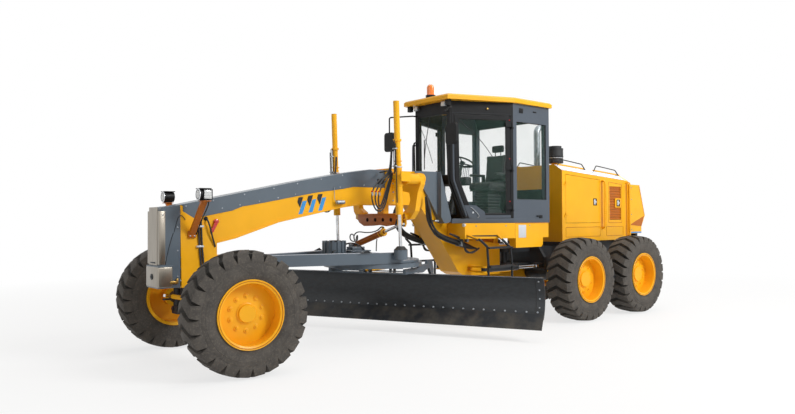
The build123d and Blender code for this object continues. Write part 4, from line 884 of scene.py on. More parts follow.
class GRADER_OT_front_lamps(bpy.types.Operator):
    """Add the nose lamps' lenses, bezels, shades, feet and leads"""
    bl_idname = "grader.front_lamps"
    bl_label = "Front lamps"

    def execute(self, context):
        lens = turned(HEAD_LAMP, AHEAD, [(-8, 56), (0, 56), (4, 46), (6, 20)], 32)
        side = block((4112, 4198), (586, 592), (1878, 1972), 8, 2)
        sided([lens, side], "front_lamp_lenses", "front", "lens")
        ring = hollowed(turned(HEAD_LAMP, AHEAD, [(-14, 66), (2, 66), (5, 62), (5, 54), (-2, 53)], 32))
        shade = block((4108, 4236), (450, 580), (1984, 1994), 3)
        sided(ring, "front_lamp_bezels", "front", "chrome")
        sided(shade, "front_lamp_shades", "front", "black")
        # painted shade: the lamp brackets' feet take the brown-orange enamel
        feet = [block((4120, 4214), (172, 196), (1440, 1520), 4), block((4120, 4214), (470, 600), (1848, 1856), 2)]
        sided(feet, "front_lamp_feet", "front", "orange")
        heads = bolts([(x, 196, z) for z in (1462, 1502) for x in (4140, 4190)], LEFT, 7)
        sided(heads, "front_lamp_bolts", "front", "steel")
        lead = hose([(4150, 560, 1880), (4120, 560, 1840), (4118, 420, 1720), (4118, 260, 1560), (4118, 190, 1480)], 7)
        sided(lead, "front_lamp_leads", "front", "hose")
        return {"FINISHED"}


# ---------------------------------------------------------------- saddle and lift cylinders
def ring_on(start, axis, inner, outer, length, sides=32):
    """Collar round a tube."""
    return hollowed(turned(start, axis, [(0, inner), (0, outer - 2), (2, outer), (length - 2, outer),
                                         (length, outer - 2), (length, inner)], sides))


class GRADER_OT_saddle(bpy.types.Operator):
    """Add the saddle's pin faces, collars and bolts, the link bar's web and holes, and the accumulators"""
    bl_idname = "grader.saddle"
    bl_label = "Saddle"

    def execute(self, context):
        face = turned(TRUNNION, AHEAD, [(-24, 46), (8, 46), (10, 40), (10, 30), (7, 28), (7, 12)], 28)
        studs = bolts([TRUNNION + Vector((8, y, z)) for y, z in round_places(6, 36)], AHEAD, 4)
        sided([face, studs], "trunnion_faces", "front", "brushed")
        dots = [turned(TRUNNION + Vector((6, 0, 0)), AHEAD, [(0, 12), (4, 9)], 12),
                turned((1240, 744, 2254), UP, [(-4, 11), (4, 8)], 12),
                turned((1302, 560, 1655), AHEAD, [(-4, 10), (4, 7)], 12)]
        sided(dots, "grease_caps", "front", "red")
        pin = turned((1298, 520, 1680), AHEAD, [(0, 40), (5, 40), (7, 32), (5, 28), (6, 12)], 28)
        sided(pin, "link_pins", "front", "brass")
        hub = ring_on((1150, 745, 2180), AHEAD, 60, 78, 24)
        collar = ring_on((1420, 745, 2180), AHEAD, 60, 80, 26)
        sided([hub, collar], "trunnion_collars", "front", "yellow")
        # painted shade: the link bar's web takes the brown-orange enamel
        bar = cross_plate([(-440, 1712), (-445, 1640), (-405, 1590), (-290, 1540), (-70, 1545), (80, 1556), (230, 1540),
                           (405, 1560), (440, 1640), (440, 1712)], 1352, 1364, 4, 2)
        bar = joined([bar, block((1284, 1362), (-438, 438), (1696, 1712), 4)])
        finished(bar, "link_bar_web", "front", "orange")
        # painted shade: near-black discs in the link bar's holes
        holes = [turned((1364, y, 1630), AHEAD, [(-1, 27), (2, 27), (3, 22), (0, 20)], 24)
                 for y in (-205, -20, 155, 333)]
        finished(holes, "link_bar_holes", "front", "void")
        # painted shade: a near-black plate in the saddle's slot
        sided(block((1345, 1470), (165, 178), (2130, 2200), 2), "saddle_slot", "front", "void")
        heads = bolts([(1150 + 90 * k, 234, z) for k in range(2) for z in (1900, 2020, 2140, 2280)], LEFT, 9)
        sided(heads, "saddle_bolts", "front", "steel")
        profile = [(0, 14), (10, 14), (12, 27), (130, 27), (142, 18), (150, 8)]
        can = turned((2195, 205, 1866), (-1, 0, 0.03), profile, 20)
        can = joined([can, block((2140, 2176), (168, 206), (1850, 1880), 3),
                      hose([(2190, 200, 1870), (2214, 196, 1910), (2196, 180, 1990), (2200, 172, 2070)], 4, 8)])
        sided(can, "accumulators", "front", "steel")
        return {"FINISHED"}


class GRADER_OT_lift_cylinders(bpy.types.Operator):
    """Add the lift cylinders' glands, clamp rings, pipes and hose loops"""
    bl_idname = "grader.lift_cylinders"
    bl_label = "Lift cylinders"

    def execute(self, context):
        top = LIFT_TOP
        up = (top - LIFT_BALL).normalized()
        for side, sign in (("left", 1), ("right", -1)):
            flip = MIRROR if sign < 0 else Matrix()

            def placed(piece, name, finish):
                made = copy_of(piece, flip)
                bpy.data.objects.remove(piece)
                return finished(made, f"{name}_{side}", f"lift_barrel_{side}", finish)

            caps = joined([ring_on(top - up * 128, up, 40, 57, 44), ring_on(top + up * 468, up, 40, 55, 30),
                           ring_on(top + up * 200, up, 48, 54, 12),
                           turned(top + up * 990, up, [(0, 38), (10, 34), (14, 20)], 24)])
            placed(caps, "lift_glands", "yellow")
            placed(ring_on(top + up * 120, up, 48, 55, 16), "lift_clamps", "pale")
            # pipe: its distance from the barrel's axis, its heights along it and its radius
            pipes = [hose([top + up * height + Vector(off) for height in heights], radius) for off, heights, radius in (
                ((62, 18, 0), (480, 440, 300, 100, 60), 6), ((58, -14, 0), (480, 440, 300, 100, 40), 6),
                ((66, 38, 0), (430, 320, 60, -60, -240, -300, -345), 7))]
            placed(joined(pipes), "lift_pipes", "hose")
            brackets = [block((1604, 1636), (700, 770), (z, z + 16), 3) for z in (2330, 2560)]
            placed(joined(brackets), "lift_pipe_clips", "steel")
            bend = joined([hose([top + up * -345 + Vector((66, 38, 0)), top + up * -372 + Vector((64, 34, 0)),
                                 top + up * -376 + Vector((30, 20, 0))], 10),
                           turned(top + up * -374 + Vector((38, 22, 0)), (1, 0.4, 0), [(0, 17), (22, 17)], 6)])
            placed(bend, "lift_port_bends", "yellow")
        loops = []
        radius = context.scene.grader_sizes.hose_radius / MM
        for k in range(3):
            drop, out = 34 * k, 58 * k - 50
            loops.append(hose([(1600, 650 - 8 * k, 2560), (1606, 650 - 8 * k, 2400), (1632 + out / 3, 640, 2240),
                               (1745 + out, 632 - 10 * k, 2140), (1835 + out, 625, 2030), (1858 + out, 618, 1920),
                               (1826 + out / 2, 614, 1830 - drop), (1768, 612, 1806 - drop),
                               (1715 - out / 3, 618, 1880 - drop), (1650 - out / 3, 626, 2060),
                               (1600 - out / 3, 636, 2220), (1560, 600, 2290), (1500, 420, 2300),
                               (1450, 200, 2290)], radius))
        sided(loops, "saddle_hose_loops", "front", "hose")
        sleeves = joined([turned((1790 + 58 * k, 622, 1950), (0.1, 0, 1), [(0, 15), (42, 15)], 16) for k in range(3)])
        sided(sleeves, "hose_sleeves", "front", "steel")
        tapes = joined([turned((1794 + 58 * k, 622, 1996), (0.1, 0, 1), [(0, 14), (16, 14)], 16) for k in range(3)])
        sided(tapes, "hose_tapes", "front", "red")
        return {"FINISHED"}


class GRADER_OT_centre_shift(bpy.types.Operator):
    """Add the centre shift cylinder's gland, hoses and pipe"""
    bl_idname = "grader.centre_shift"
    bl_label = "Centre shift"

    def execute(self, context):
        foot = SHIFT_FOOT
        high = Vector(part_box("centre_shift_barrel")[1]) / MM
        along = (SHIFT_EYE - foot).normalized()
        end = foot + along * ((high.y - foot.y) / along.y - 12)
        gland = joined([ring_on(end - along * 30, along, 30, 56, 34), ring_on(end - along * 90, along, 40, 50, 10)])
        nose = turned(end - along * 26 + Vector((0, 0, 48)), UP, [(0, 18), (26, 18)], 6)
        finished([gland, nose], "centre_shift_gland", "centre_shift_barrel", "yellow")
        lines = [hose([end + Vector((0, 0, 60)), end + Vector((0, -40, 92)), (1300, -60, 1466), (1320, -270, 1440),
                       (1330, -500, 1462), (1330, -600, 1385), (1330, -545, 1300), (1325, -486, 1345),
                       (1318, -516, 1430), (1300, -570, 1330)], 9),
                 hose([foot + along * 90 + Vector((0, 0, 50)), (1310, -640, 1300), (1330, -690, 1350),
                       (1330, -665, 1425), (1325, -575, 1405), (1310, -600, 1330)], 9)]
        finished(lines, "centre_shift_hoses", "centre_shift_barrel", "hose")
        # painted shade: the pipe takes the brown-orange enamel
        pipe = hose([foot + along * 120 + Vector((46, 0, 20)), foot + along * 300 + Vector((54, 0, 24)),
                     end - along * 60 + Vector((46, 0, 20))], 7)
        finished(pipe, "centre_shift_pipe", "centre_shift_barrel", "orange")
        return {"FINISHED"}


# ---------------------------------------------------------------- drawbar, circle and blade
class GRADER_OT_drawbar(bpy.types.Operator):
    """Add the drawbar's ball caps, bridge, gussets and hoses, and the turning drive's lid and motor"""
    bl_idname = "grader.drawbar"
    bl_label = "Drawbar"

    def execute(self, context):
        boot = turned(LIFT_BALL, UP, [(40, 92), (58, 92), (66, 80), (92, 60), (104, 44), (104, 24)], 32)
        heads = bolts([LIFT_BALL + Vector((x, y, 59)) for x, y in round_places(8, 78)], UP, 9)
        sided([boot, heads], "ball_caps", "drawbar", "dark")
        ring = bolts([(DRIVE_X + x, y, 1336) for x, y in round_places(14, 118, 0.5)], UP, 10)
        lid = turned((DRIVE_X, 0, 1336), UP, [(-4, 100), (8, 100), (14, 92), (14, 60), (22, 54)], 32)
        finished([ring, lid], "turning_drive_lid", "drawbar", "dark")
        motor = joined([turned((2300, 130, 1130), AHEAD, [(0, 60), (18, 60), (20, 48), (66, 48), (72, 40)], 24),
                        bolts([(2302, 130 + y, 1130 + z) for y, z in round_places(4, 52, 0.4966)], AHEAD, 9)])
        finished(motor, "turning_motor", "drawbar", "steel")
        rib = both_sides(block((1620, 1830), (60, 72), (1195, 1262), 6))
        bridge = joined([rib, block((1560, 1900), (-140, 140), (1195, 1214), 5)])
        finished(bridge, "drawbar_bridge", "drawbar", "grey")
        gusset = both_sides(plate([(2060, 548, 1198), (1890, 590, 1198), (1950, 575, 1236)], (0, -12, 0), 2))
        finished(gusset, "drawbar_gussets", "drawbar", "dark")
        # painted highlight: a bright worn-looking line where the arms' top edges catch the light
        edge = both_sides(hose([(3540, 40, 1197), (2600, 300, 1197), (1760, 560, 1197)], 5, 8))
        finished(edge, "drawbar_edge_highlights", "drawbar", "pale")
        lines = [hose([(1640 + 40 * k, 90 - 50 * k, 1215), (1700, 60 - 40 * k, 1290), (1820, 40 - 30 * k, 1320),
                       (2000, 110 - 20 * k, 1300), (2200, 130, 1200 + 12 * k)], 9) for k in range(2)]
        lines.append(hose([(1520, 200, 1200), (1520, 206, 1330), (1510, 206, 1352), (1500, 190, 1360)], 8))
        finished(lines, "drawbar_hoses", "drawbar", "hose")
        return {"FINISHED"}


class GRADER_OT_blade(bpy.types.Operator):
    """Add the blade's bolt rows, end seams and top lip"""
    bl_idname = "grader.blade"
    bl_label = "Blade"

    def execute(self, context):
        turn = moved(CIRCLE_X, 0, 0) @ Matrix.Rotation(CIRCLE_TURN, 4, "Z")
        # bolts and seams lie on the blade's front skin, which is found on the node itself
        node = NODES["moldboard"]
        back = turn.inverted()
        local = [(back @ vertex.co) / MM for vertex in node.data.vertices]
        y_low, y_high = min(p.y for p in local), max(p.y for p in local)
        z_low, z_high = min(p.z for p in local), max(p.z for p in local)
        x_front = max(p.x for p in local)

        def skin(z):
            """Front of the blade at a height, in the blade's own frame."""
            start = turn @ Vector((x_front * MM + 0.2, (y_low + y_high) / 2 * MM, z * MM))
            hit, spot, _, _ = node.ray_cast(start, turn.to_3x3() @ Vector((-1, 0, 0)))
            return (back @ spot).x / MM if hit else x_front

        heads = []
        for z in (z_low + 38, z_low + 90):
            x = skin(z)
            heads.append(bolts([(x, y, z) for y in spaced(y_low + 90, y_high - 90, 150)], AHEAD, 11))
        for y in (y_low + 70, y_high - 70):
            heads.append(bolts([(skin(z), y, z) for z in spaced(z_low + 150, z_high - 60, 110)], AHEAD, 9))
        rows = joined(heads)
        rows.data.transform(turn)
        finished(rows, "blade_bolts", "blade", "steel")
        zs = spaced(z_low + 20, z_high - 12, 60)
        seams = []
        for y in (y_low + 118, y_high - 118):
            front = [(skin(z) + 1, z) for z in zs]
            seams.append(side_plate([(x - 6, z) for x, z in front] + [(x + 4, z) for x, z in reversed(front)],
                                    y - 4, y + 4, 0))
        crest = skin(z_high - 10)
        lip = block((crest - 14, crest + 4), (y_low + 4, y_high - 4), (z_high - 9, z_high - 1), 2)
        seams = joined(seams)
        seams.data.transform(turn)
        finished(seams, "blade_end_seams", "blade", "dark")
        lip.data.transform(turn)
        finished(lip, "blade_top_lip", "blade", "pale")
        return {"FINISHED"}


def spaced(low, high, step):
    """Even places from low to high, about a step apart."""
    count = max(1, round((high - low) / step))
    return [low + (high - low) * k / count for k in range(count + 1)]


# ---------------------------------------------------------------- cab
# outline of the door's pane: distance ahead of the rear post, and height
GLASS = ((114, 1714), (668, 1714), (869, 2214), (881, 3131), (114, 3131))


def at_door(along, z, depth=0):
    """Point on the left door: distance ahead of the rear post, height, and depth behind the outer face."""
    return DOOR_POST + DOOR_AHEAD * along + DOOR_INWARDS * depth + Vector((0, 0, z))


def door_plate(outline, depth, thickness, bevel=2):
    """Plate on the left door, from (along, z) points."""
    return plate([at_door(a, z, depth) for a, z in outline], DOOR_INWARDS * thickness, bevel)


def seal(points, radius=7):
    """Closed rubber bead with tight corners."""
    loop = []
    for k, point in enumerate(points):
        before, after = Vector(points[k - 1]), Vector(points[(k + 1) % len(points)])
        here = Vector(point)
        loop += [here + (before - here).normalized() * 24, here, here + (after - here).normalized() * 24]
    return hose(loop, radius, 8, cyclic=True)


def both_doors(make, name, finish):
    """The same piece on each door, riding on its own door."""
    piece = make()
    finished(copy_of(piece, MIRROR), f"{name}_right", "cab_door_right", finish)
    finished(piece, f"{name}_left", "cab_door_left", finish)


class GRADER_OT_cab_doors(bpy.types.Operator):
    """Add the doors' seals, sills, latch plates, hinge caps, wiper arms and handles"""
    bl_idname = "grader.cab_doors"
    bl_label = "Cab doors"

    def execute(self, context):
        both_doors(lambda: seal([at_door(a, z, 12) for a, z in GLASS], 8), "door_seals", "hose")
        both_doors(lambda: door_plate([(452, 1590), (722, 1652), (800, 1838), (610, 1838), (470, 1740)], -3, 10, 3),
                   "door_latch_plates", "slate")
        both_doors(lambda: door_plate([(48, 1648), (480, 1648), (480, 1690), (48, 1690)], -2, 8), "door_sills", "slate")
        handle = ((700, 1810), (690, 1812), (560, 1690), (575, 1660), (590, 1655))
        both_doors(lambda: joined([hose([at_door(a, z, -14) for a, z in handle], 6),
                                   turned(at_door(660, 1730, -2), -DOOR_INWARDS, [(0, 16), (8, 16), (10, 10)], 20)]),
                   "door_handles", "steel")
        both_doors(lambda: joined([turned(at_door(62, z, -2), -DOOR_INWARDS, [(0, 10), (6, 8)], 12)
                                   for z in (1897, 2546, 3130)]), "hinge_caps", "red")
        both_doors(lambda: hose([at_door(880, 3120, 6), at_door(560, 2900, 4), at_door(330, 2560, 4)], 5, 8),
                   "door_wiper_arms", "plastic")
        return {"FINISHED"}


class GRADER_OT_cab(bpy.types.Operator):
    """Add the cab's seals, sills, drip rails, wiper, catches, grab rails and work lamps"""
    bl_idname = "grader.cab"
    bl_label = "Cab"

    def execute(self, context):
        beads = [seal([(253, y, z) for y, z in ((-319, 2291), (319, 2291), (319, 3209), (-319, 3209))]),
                 seal([(-1497, y, z) for y, z in ((-699, 2101), (699, 2101), (699, 3199), (-699, 3199))])]
        beads += [seal([(x, y, z) for x, z in ((-1439, 1930), (-731, 1930), (-731, 3119), (-1439, 3119))])
                  for y in (793, -793)]
        finished(beads, "window_seals", "front", "hose")
        sill = joined([door_plate([(0, 1573), (1000, 1573), (985, 1643), (0, 1643)], -2, 8, 2),
                       side_plate([(-1500, 1574), (-655, 1574), (-655, 1640), (-1500, 1640)],
                                  CAB_SIDE - 2, CAB_SIDE + 3)])
        sided(sill, "cab_sills", "front", "slate")
        band = door_plate([(40, 3212), (1000, 3212), (1000, 3222), (40, 3222)], -4, 8, 2)
        sided(band, "cab_drip_rails", "front", "dark")
        rail = hose([at_door(a, z, depth) for a, z, depth in (
            (985, 2790, 4), (985, 2800, -50), (985, 2780, -62), (984, 2240, -62), (976, 2190, -62), (790, 1700, -62),
            (780, 1676, -50), (780, 1676, 2))], 14, 12)
        sided(rail, "door_grab_rails", "front", "slate")
        # catches and vents: from and to along the cab, height above it, from and to upwards, and rounding
        catches = [block(x, (CAB_SIDE, CAB_SIDE + proud), z, bevel) for x, proud, z, bevel in (
            ((-1330, -1250), 10, (1640, 1690), 4), ((-1240, -1190), 18, (1664, 1684), 3),
            ((-880, -790), 8, (3256, 3330), 6), ((-1200, -1120), 8, (3290, 3310), 4))]
        sided(catches, "cab_catches", "front", "black")
        tip = both_sides(turned(at_door(420, 3290, -2), -DOOR_INWARDS, [(0, 14), (18, 14), (22, 8)], 12))
        finished(tip, "cab_air_nozzles", "front", "brass")
        lip = block((-1520, 250), (-330, 330), (3392, 3400), 2)
        finished(lip, "roof_underside", "front", "black")
        wiper = joined([hose([(256, -60, 3230), (262, -80, 3120), (262, -160, 2800), (262, -190, 2560)], 6),
                        hose([(262, -190, 2860), (262, -192, 2400)], 8),
                        block((250, 266), (-110, -20), (3212, 3250), 4)])
        finished(wiper, "screen_wiper", "front", "plastic")
        lamps = [block((262, 330), (y - 42, y + 42), (3316, 3392), 8, 2) for y in WORK_LAMPS_Y]
        finished(lamps, "cab_work_lamps", "front", "steel")
        glasses = [block((328, 334), (y - 34, y + 34), (3324, 3384), 4) for y in WORK_LAMPS_Y]
        finished(glasses, "cab_work_lamp_lenses", "front", "lens")
        return {"FINISHED"}


# a pad's mesh size in metres (quick and full), its air pressure, its cloth's stiffness and the frames simulated
PAD_VOXELS = (0.012, 0.006)
PAD_PRESSURE = 4.0
PAD_STIFFNESS = 30
PAD_FRAMES = 20


def padded_block(x, y, z):
    """Cushion: a block swelled by cloth pressure from a slightly smaller shape, with its simulation applied."""
    pad = block(x, y, z, 26, 4)
    modified(pad, "REMESH", mode="VOXEL", voxel_size=PAD_VOXELS[1])
    rest = [vertex.co.copy() for vertex in pad.data.vertices]
    only(pad)
    cloth = pad.modifiers.new("Cloth", "CLOTH")
    cloth.settings.use_pressure = True
    cloth.settings.uniform_pressure_force = PAD_PRESSURE
    cloth.settings.effector_weights.gravity = 0.0
    cloth.settings.tension_stiffness = PAD_STIFFNESS
    cloth.settings.compression_stiffness = PAD_STIFFNESS
    for frame in range(1, PAD_FRAMES + 1):
        bpy.context.scene.frame_set(frame)
    bpy.ops.object.modifier_apply(modifier=cloth.name)
    bpy.context.scene.frame_set(1)
    limit = bpy.context.scene.grader_sizes.seat_crown
    for vertex, place in zip(pad.data.vertices, rest):
        swell = vertex.co - place
        if swell.length > limit:
            vertex.co = place + swell.normalized() * limit
    return modified(pad, "SUBSURF", levels=1, render_levels=1)


class GRADER_OT_seat(bpy.types.Operator):
    """Add the seat: padded cushion, back and head rest, piping, arm rests and suspension"""
    bl_idname = "grader.seat"
    bl_label = "Seat"

    def execute(self, context):
        cushion = finished(padded_block((-1178, -742), (-238, 238), (2106, 2214)), "seat_cushion", "front", "vinyl", 60)
        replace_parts(cushion, "seat")
        back = padded_block((-1206, -1108), (-218, 218), (2232, 2690))
        back.data.transform(about("Y", radians(-5.5), -1157, 0, 2232))
        finished(back, "seat_back", "front", "vinyl", 60)
        rest = padded_block((-1244, -1184), (-122, 122), (2734, 2848))
        finished(rest, "seat_head_rest", "front", "vinyl", 60)
        # sewn channels: piping along the cushion and up the back
        seams = [hose([(-1150, y, 2216), (-960, y, 2219), (-770, y, 2216)], 4, 8) for y in (-120, 120)]
        seams += [hose([(-1102, y, 2260), (-1122, y, 2460), (-1146, y, 2660)], 4, 8) for y in (-115, 115)]
        posts = both_sides(hose([(-1214, 60, 2600), (-1214, 60, 2790)], 7, 8))
        finished(seams + [posts], "seat_piping", "front", "plastic")
        arm = joined([block((-1165, -835), (240, 306), (2334, 2376), 16, 3),
                      block((-1176, -1124), (250, 300), (2150, 2340), 8)])
        sided(arm, "seat_arm_rests", "front", "vinyl")
        shell = [block((-1236, -1208), (-210, 210), (2190, 2600), 12, 3),
                 block((-1190, -760), (-225, 225), (2086, 2104), 8, 2)]
        shell[0].data.transform(about("Y", radians(-5.5), -1222, 0, 2190))
        base = [block((-1120, -790), (-165, 165), (1652, 1790), 20, 2)]
        # suspension bellows: six folds between the floor box and the pan
        folds = [block((-1105, -800), (-150, 150), (1786 + 50 * k, 1820 + 50 * k), 14, 2) for k in range(6)]
        neck = [block((-1085, -820), (-130, 130), (1780, 2090), 10)]
        finished(shell + base + folds + neck, "seat_suspension", "front", "plastic")
        return {"FINISHED"}


STEERING_WHEEL = (-383, 0, 2535)
WHEEL_TILT = radians(-24)
WHEEL_RADIUS = 178


class GRADER_OT_controls(bpy.types.Operator):
    """Add the steering wheel, column, levers, display and lining"""
    bl_idname = "grader.controls"
    bl_label = "Controls"

    def execute(self, context):
        tilt = moved(*STEERING_WHEEL) @ Matrix.Rotation(WHEEL_TILT, 4, "Y")
        rim = hose([(x, y, 0) for x, y in round_places(16, WHEEL_RADIUS)], 14, 12, cyclic=True)
        spokes = [hose([(0, 0, -24), (80 * cos(a), 80 * sin(a), -14), (176 * cos(a), 176 * sin(a), 0)], 10)
                  for a in (0.5, 2.64, 4.71)]
        hub = turned((0, 0, -34), UP, [(0, 38), (30, 44), (38, 38), (42, 20)], 24)
        wheel = joined([rim, hub] + spokes)
        wheel.data.transform(tilt)
        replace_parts(finished(wheel, "steering_wheel", "front", "plastic"), "controls")
        # a shroud, a pleated boot and the column's foot
        shroud = turned((0, 0, -320), UP, [(0, 44), (90, 46), (150, 38), (160, 28), (292, 26)], 24)
        shroud.data.transform(tilt)
        boot = turned((-90, 0, 1690), (-160, 0, 555), [(26 * k, 52 if k % 2 else 44) for k in range(23)], 24)
        foot = block((-290, -25), (-58, 58), (1652, 1700), 12, 2)
        pods = block((-328, -192), (-255, 255), (2155, 2285), 26, 3)
        finished([shroud, boot, foot, pods], "steering_column", "front", "plastic")
        levers, knobs = [], []
        for side in (1, -1):
            for k in range(4):
                y = side * (120 + 38 * k)
                levers.append(hose([(-258, y, 2270), (-268, y, 2350), (-290, y, 2440)], 6, 8))
                knobs.append(turned((-288, y, 2430), (-0.2, 0, 1), [(0, 8), (8, 14), (28, 16), (34, 11)], 14))
        finished(levers, "control_levers", "front", "chrome")
        finished(knobs, "lever_knobs", "front", "black")
        stalk = hose([(-150, 200, 1655), (-100, 208, 1850), (-20, 224, 2180), (58, 236, 2440)], 12)
        display = joined([stalk, turned((-150, 200, 1652), UP, [(0, 38), (8, 38), (14, 20)], 24),
                          block((42, 74), (152, 318), (2382, 2508), 10, 2)])
        finished(display, "side_display", "front", "plastic")
        liner = joined([block((-1450, 190), (-330, 330), (3340, 3372), 12, 2),
                        turned((-763, 150, 3336), (0, 0, -1), [(0, 70), (6, 70), (8, 60), (4, 50)], 28)])
        finished(liner, "cab_headliner", "front", "plastic")
        return {"FINISHED"}


# ---------------------------------------------------------------- platform and neck
class GRADER_OT_platform(bpy.types.Operator):
    """Add the deck, its skirt's bolts, seams, bare plates and lamps, and the ladders' treads"""
    bl_idname = "grader.platform"
    bl_label = "Platform"

    def execute(self, context):
        # the deck's own shape, its skirt cut back in front of the doors
        deck = NODES["platform"].copy()
        deck.data = NODES["platform"].data.copy()
        context.scene.collection.objects.link(deck)
        modified(deck, "WELD", merge_threshold=0.00002)
        for vertex in deck.data.vertices:
            place = vertex.co
            if place.x > 0.3 and place.z > 1.33:
                place.x -= 0.268
                if abs(place.y) > 0.4:
                    place.y += 0.088 if place.y > 0 else -0.088
        finished(deck, "deck", "front", "yellow", 1)
        finish_faces(deck.data, "platform")
        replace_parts(deck, "platform")
        heads = joined([bolts([(-26, 624, 1530), (-507, 782, 1530)], (352, 1073, 0), 8),
                        bolts([(-997, SKIRT_SIDE + 1, 1530)], LEFT, 8)])
        sided(heads, "skirt_bolts", "front", "steel")
        blank = block((-912, -738), (SKIRT_SIDE, SKIRT_SIDE + 3), (1345, 1540), 1)
        sided(blank, "blank_plates", "front", "pale")
        seams = [block(x, (SKIRT_SIDE, SKIRT_SIDE + 3), z, 1)
                 for x, z in (((-1455, -655), (1562, 1568)), ((-660, -655), (1345, 1560)))]
        sided(seams, "skirt_seams", "front", "orange")
        treads = [block(x, (SKIRT_SIDE + 1, SKIRT_SIDE + 43), (z - 6, z + 10), 4)
                  for x, z in (((-550, -48), 660), ((-550, -48), 940), ((-520, -22), 1213))]
        sided(treads, "ladder_treads", "front", "dark")
        lamp = turned((160, 560, 1545), (1, 0.3, 0), [(-10, 24), (20, 26), (24, 22), (26, 10)], 24)
        sided(lamp, "step_lamps", "front", "lens")
        return {"FINISHED"}


class GRADER_OT_neck_hoses(bpy.types.Operator):
    """Add the hose bundle that runs from the cab's cowl down to the frame hinge"""
    bl_idname = "grader.neck_hoses"
    bl_label = "Neck hoses"

    def execute(self, context):
        lines = []
        for k in range(5):
            y, lift = 330 + 22 * k, 26 * (k % 3)
            lines.append(hose([(640, 250 + 10 * k, 1960 - lift), (700, y, 1820 - lift), (690, y, 1640 - lift),
                               (600, y + 10, 1470 - lift), (420, y + 20, 1380 - lift), (120, y + 20, 1300 - lift),
                               (-110, y, 1240 - lift), (-300, y - 60, 1180)], 15))
        for k in range(2):
            lines.append(hose([(340, 440, 1420), (120, 455, 1366 - 20 * k), (60, 460, 1250 - 30 * k),
                               (20, 460, 1150 - 20 * k), (-130, 455, 1110 + 20 * k), (-290, 430, 1190)], 13))
        sided(lines, "neck_hose_bundle", "front", "hose")
        clips = [block((560, 640), (315, 450), (1600, 1622), 4), block((90, 120), (330, 460), (1230, 1370), 5),
                 block((-10, 30), (430, 490), (1290, 1350), 6)]
        sided(clips, "neck_hose_clips", "front", "steel")
        return {"FINISHED"}


# ---------------------------------------------------------------- hood and tail
# (x, z) outlines of the rear hatch and of the two panels below the doors
HOOD_PANELS = (((-3490, 1552), (-3490, 2287), (-3915, 2252), (-3915, 1552)),
               ((-2227, 1318), (-2227, 1481), (-3225, 1481), (-3225, 1318)),
               ((-3420, 1318), (-3420, 1481), (-3950, 1481), (-3950, 1318)))


def hood_side_top(x):
    """Height of the hood's side at its shoulder."""
    return 2447 + (x + 2120) / (-4131 + 2120) * (2321 - 2447)


def tail_face(z):
    """How far back the tail's slanted rear face lies at a height."""
    return -4460 - (2253 - z) / (2253 - 1679) * 181


class GRADER_OT_hood(bpy.types.Operator):
    """Add the hood's panel lines, latches, rails, vents and air cleaner rings"""
    bl_idname = "grader.hood"
    bl_label = "Hood"

    def execute(self, context):
        lines = [seal([(x, HOOD_SIDE, z) for x, z in outline], 4) for outline in HOOD_PANELS]
        lines.append(hose([(-2124, HOOD_SIDE, 1250), (-2124, HOOD_SIDE, hood_side_top(-2124))], 4, 8))
        sided(lines, "hood_panel_lines", "rear", "orange")
        # pale band on each shoulder: a light grey top cover, its paleness partly painted reflection of the sky
        shoulder = plate([(x, y, hood_side_top(x) + rise) for x, y, rise in (
            (-2126, 598, 3), (-2126, 446, 101), (-4000, 446, 101), (-4000, 598, 3))], (0, 2, 4), 1)
        sided(shoulder, "hood_shoulder_bands", "rear", "pale")
        notch = block((-3890, -3700), (HOOD_SIDE - 10, HOOD_SIDE + 4), (1825, 1995), 3)
        sided(notch, "hood_latch_plates", "rear", "yellow")
        for k, (x, z, y) in enumerate(((-3073, 1921, HOOD_SIDE), (-3794, 1910, HOOD_SIDE + 4))):
            for side, flip in (("left", Matrix()), ("right", MIRROR)):
                body = f"hood_door_{side}" if k == 0 else "rear"
                cup = block((x - 52, x + 52), (y - 1, y + 5), (z - 62, z + 62), 8)
                lever = joined([block((x - 10, x + 40), (y + 4, y + 10), (z - 46, z + 46), 5),
                                turned((x - 28, y + 4, z), LEFT, [(0, 14), (5, 14), (7, 9)], 16)])
                for piece, label, finish in ((cup, "cup", "black"), (lever, "lever", "pale")):
                    made = copy_of(piece, flip)
                    bpy.data.objects.remove(piece)
                    finished(made, f"latch_{label}_{k + 1}_{side}", body, finish)
        rails = []
        for back, ahead in ((-3006, -2202), (-4050, -3247)):
            a, b = hood_side_top(ahead) + 88, hood_side_top(back) + 88
            rails.append(hose([(ahead, 452, a), (ahead - 20, 450, a + 24), (ahead - 88, 446, a + 112),
                               (ahead - 110, 446, a + 116), (back + 130, 446, b + 112), (back + 100, 446, b + 106),
                               (back + 14, 450, b + 20), (back, 452, b)], 9))
        sided(rails, "hood_top_rails", "rear", "black")
        loops = []
        for x, low, high in ((-3300, 1466, 2290), (-4060, 1306, 2276)):
            loops.append(hose([(x, HOOD_SIDE, high), (x, 628, high + 4), (x, 668, high - 34), (x - 4, 672, high - 80),
                               (x - 4, 672, low + 80), (x, 668, low + 34), (x, 628, low - 4),
                               (x, HOOD_SIDE, low)], 13, 12))
        sided(loops, "hood_grab_rails", "rear", "yellow")
        rings = [ring_on(AIR_CLEANER + Vector((0, 0, z)), UP, 130, 142, 12, 40) for z in (2616, 2700, 2716, 2836)]
        finished(rings, "air_cleaner_rings", "rear", "dark")
        band = ring_on(AIR_CLEANER + Vector((0, 0, 2686)), UP, 130, 141, 10, 40)
        finished(band, "air_cleaner_band", "rear", "pale")
        vents = []
        for x in range(-2560, -3260, -70):
            vents.append(block((x - 40, x), (-300, 300), (hood_side_top(x) + 100, hood_side_top(x) + 112), 3))
        finished(vents, "hood_top_vents", "rear", "dark")
        return {"FINISHED"}


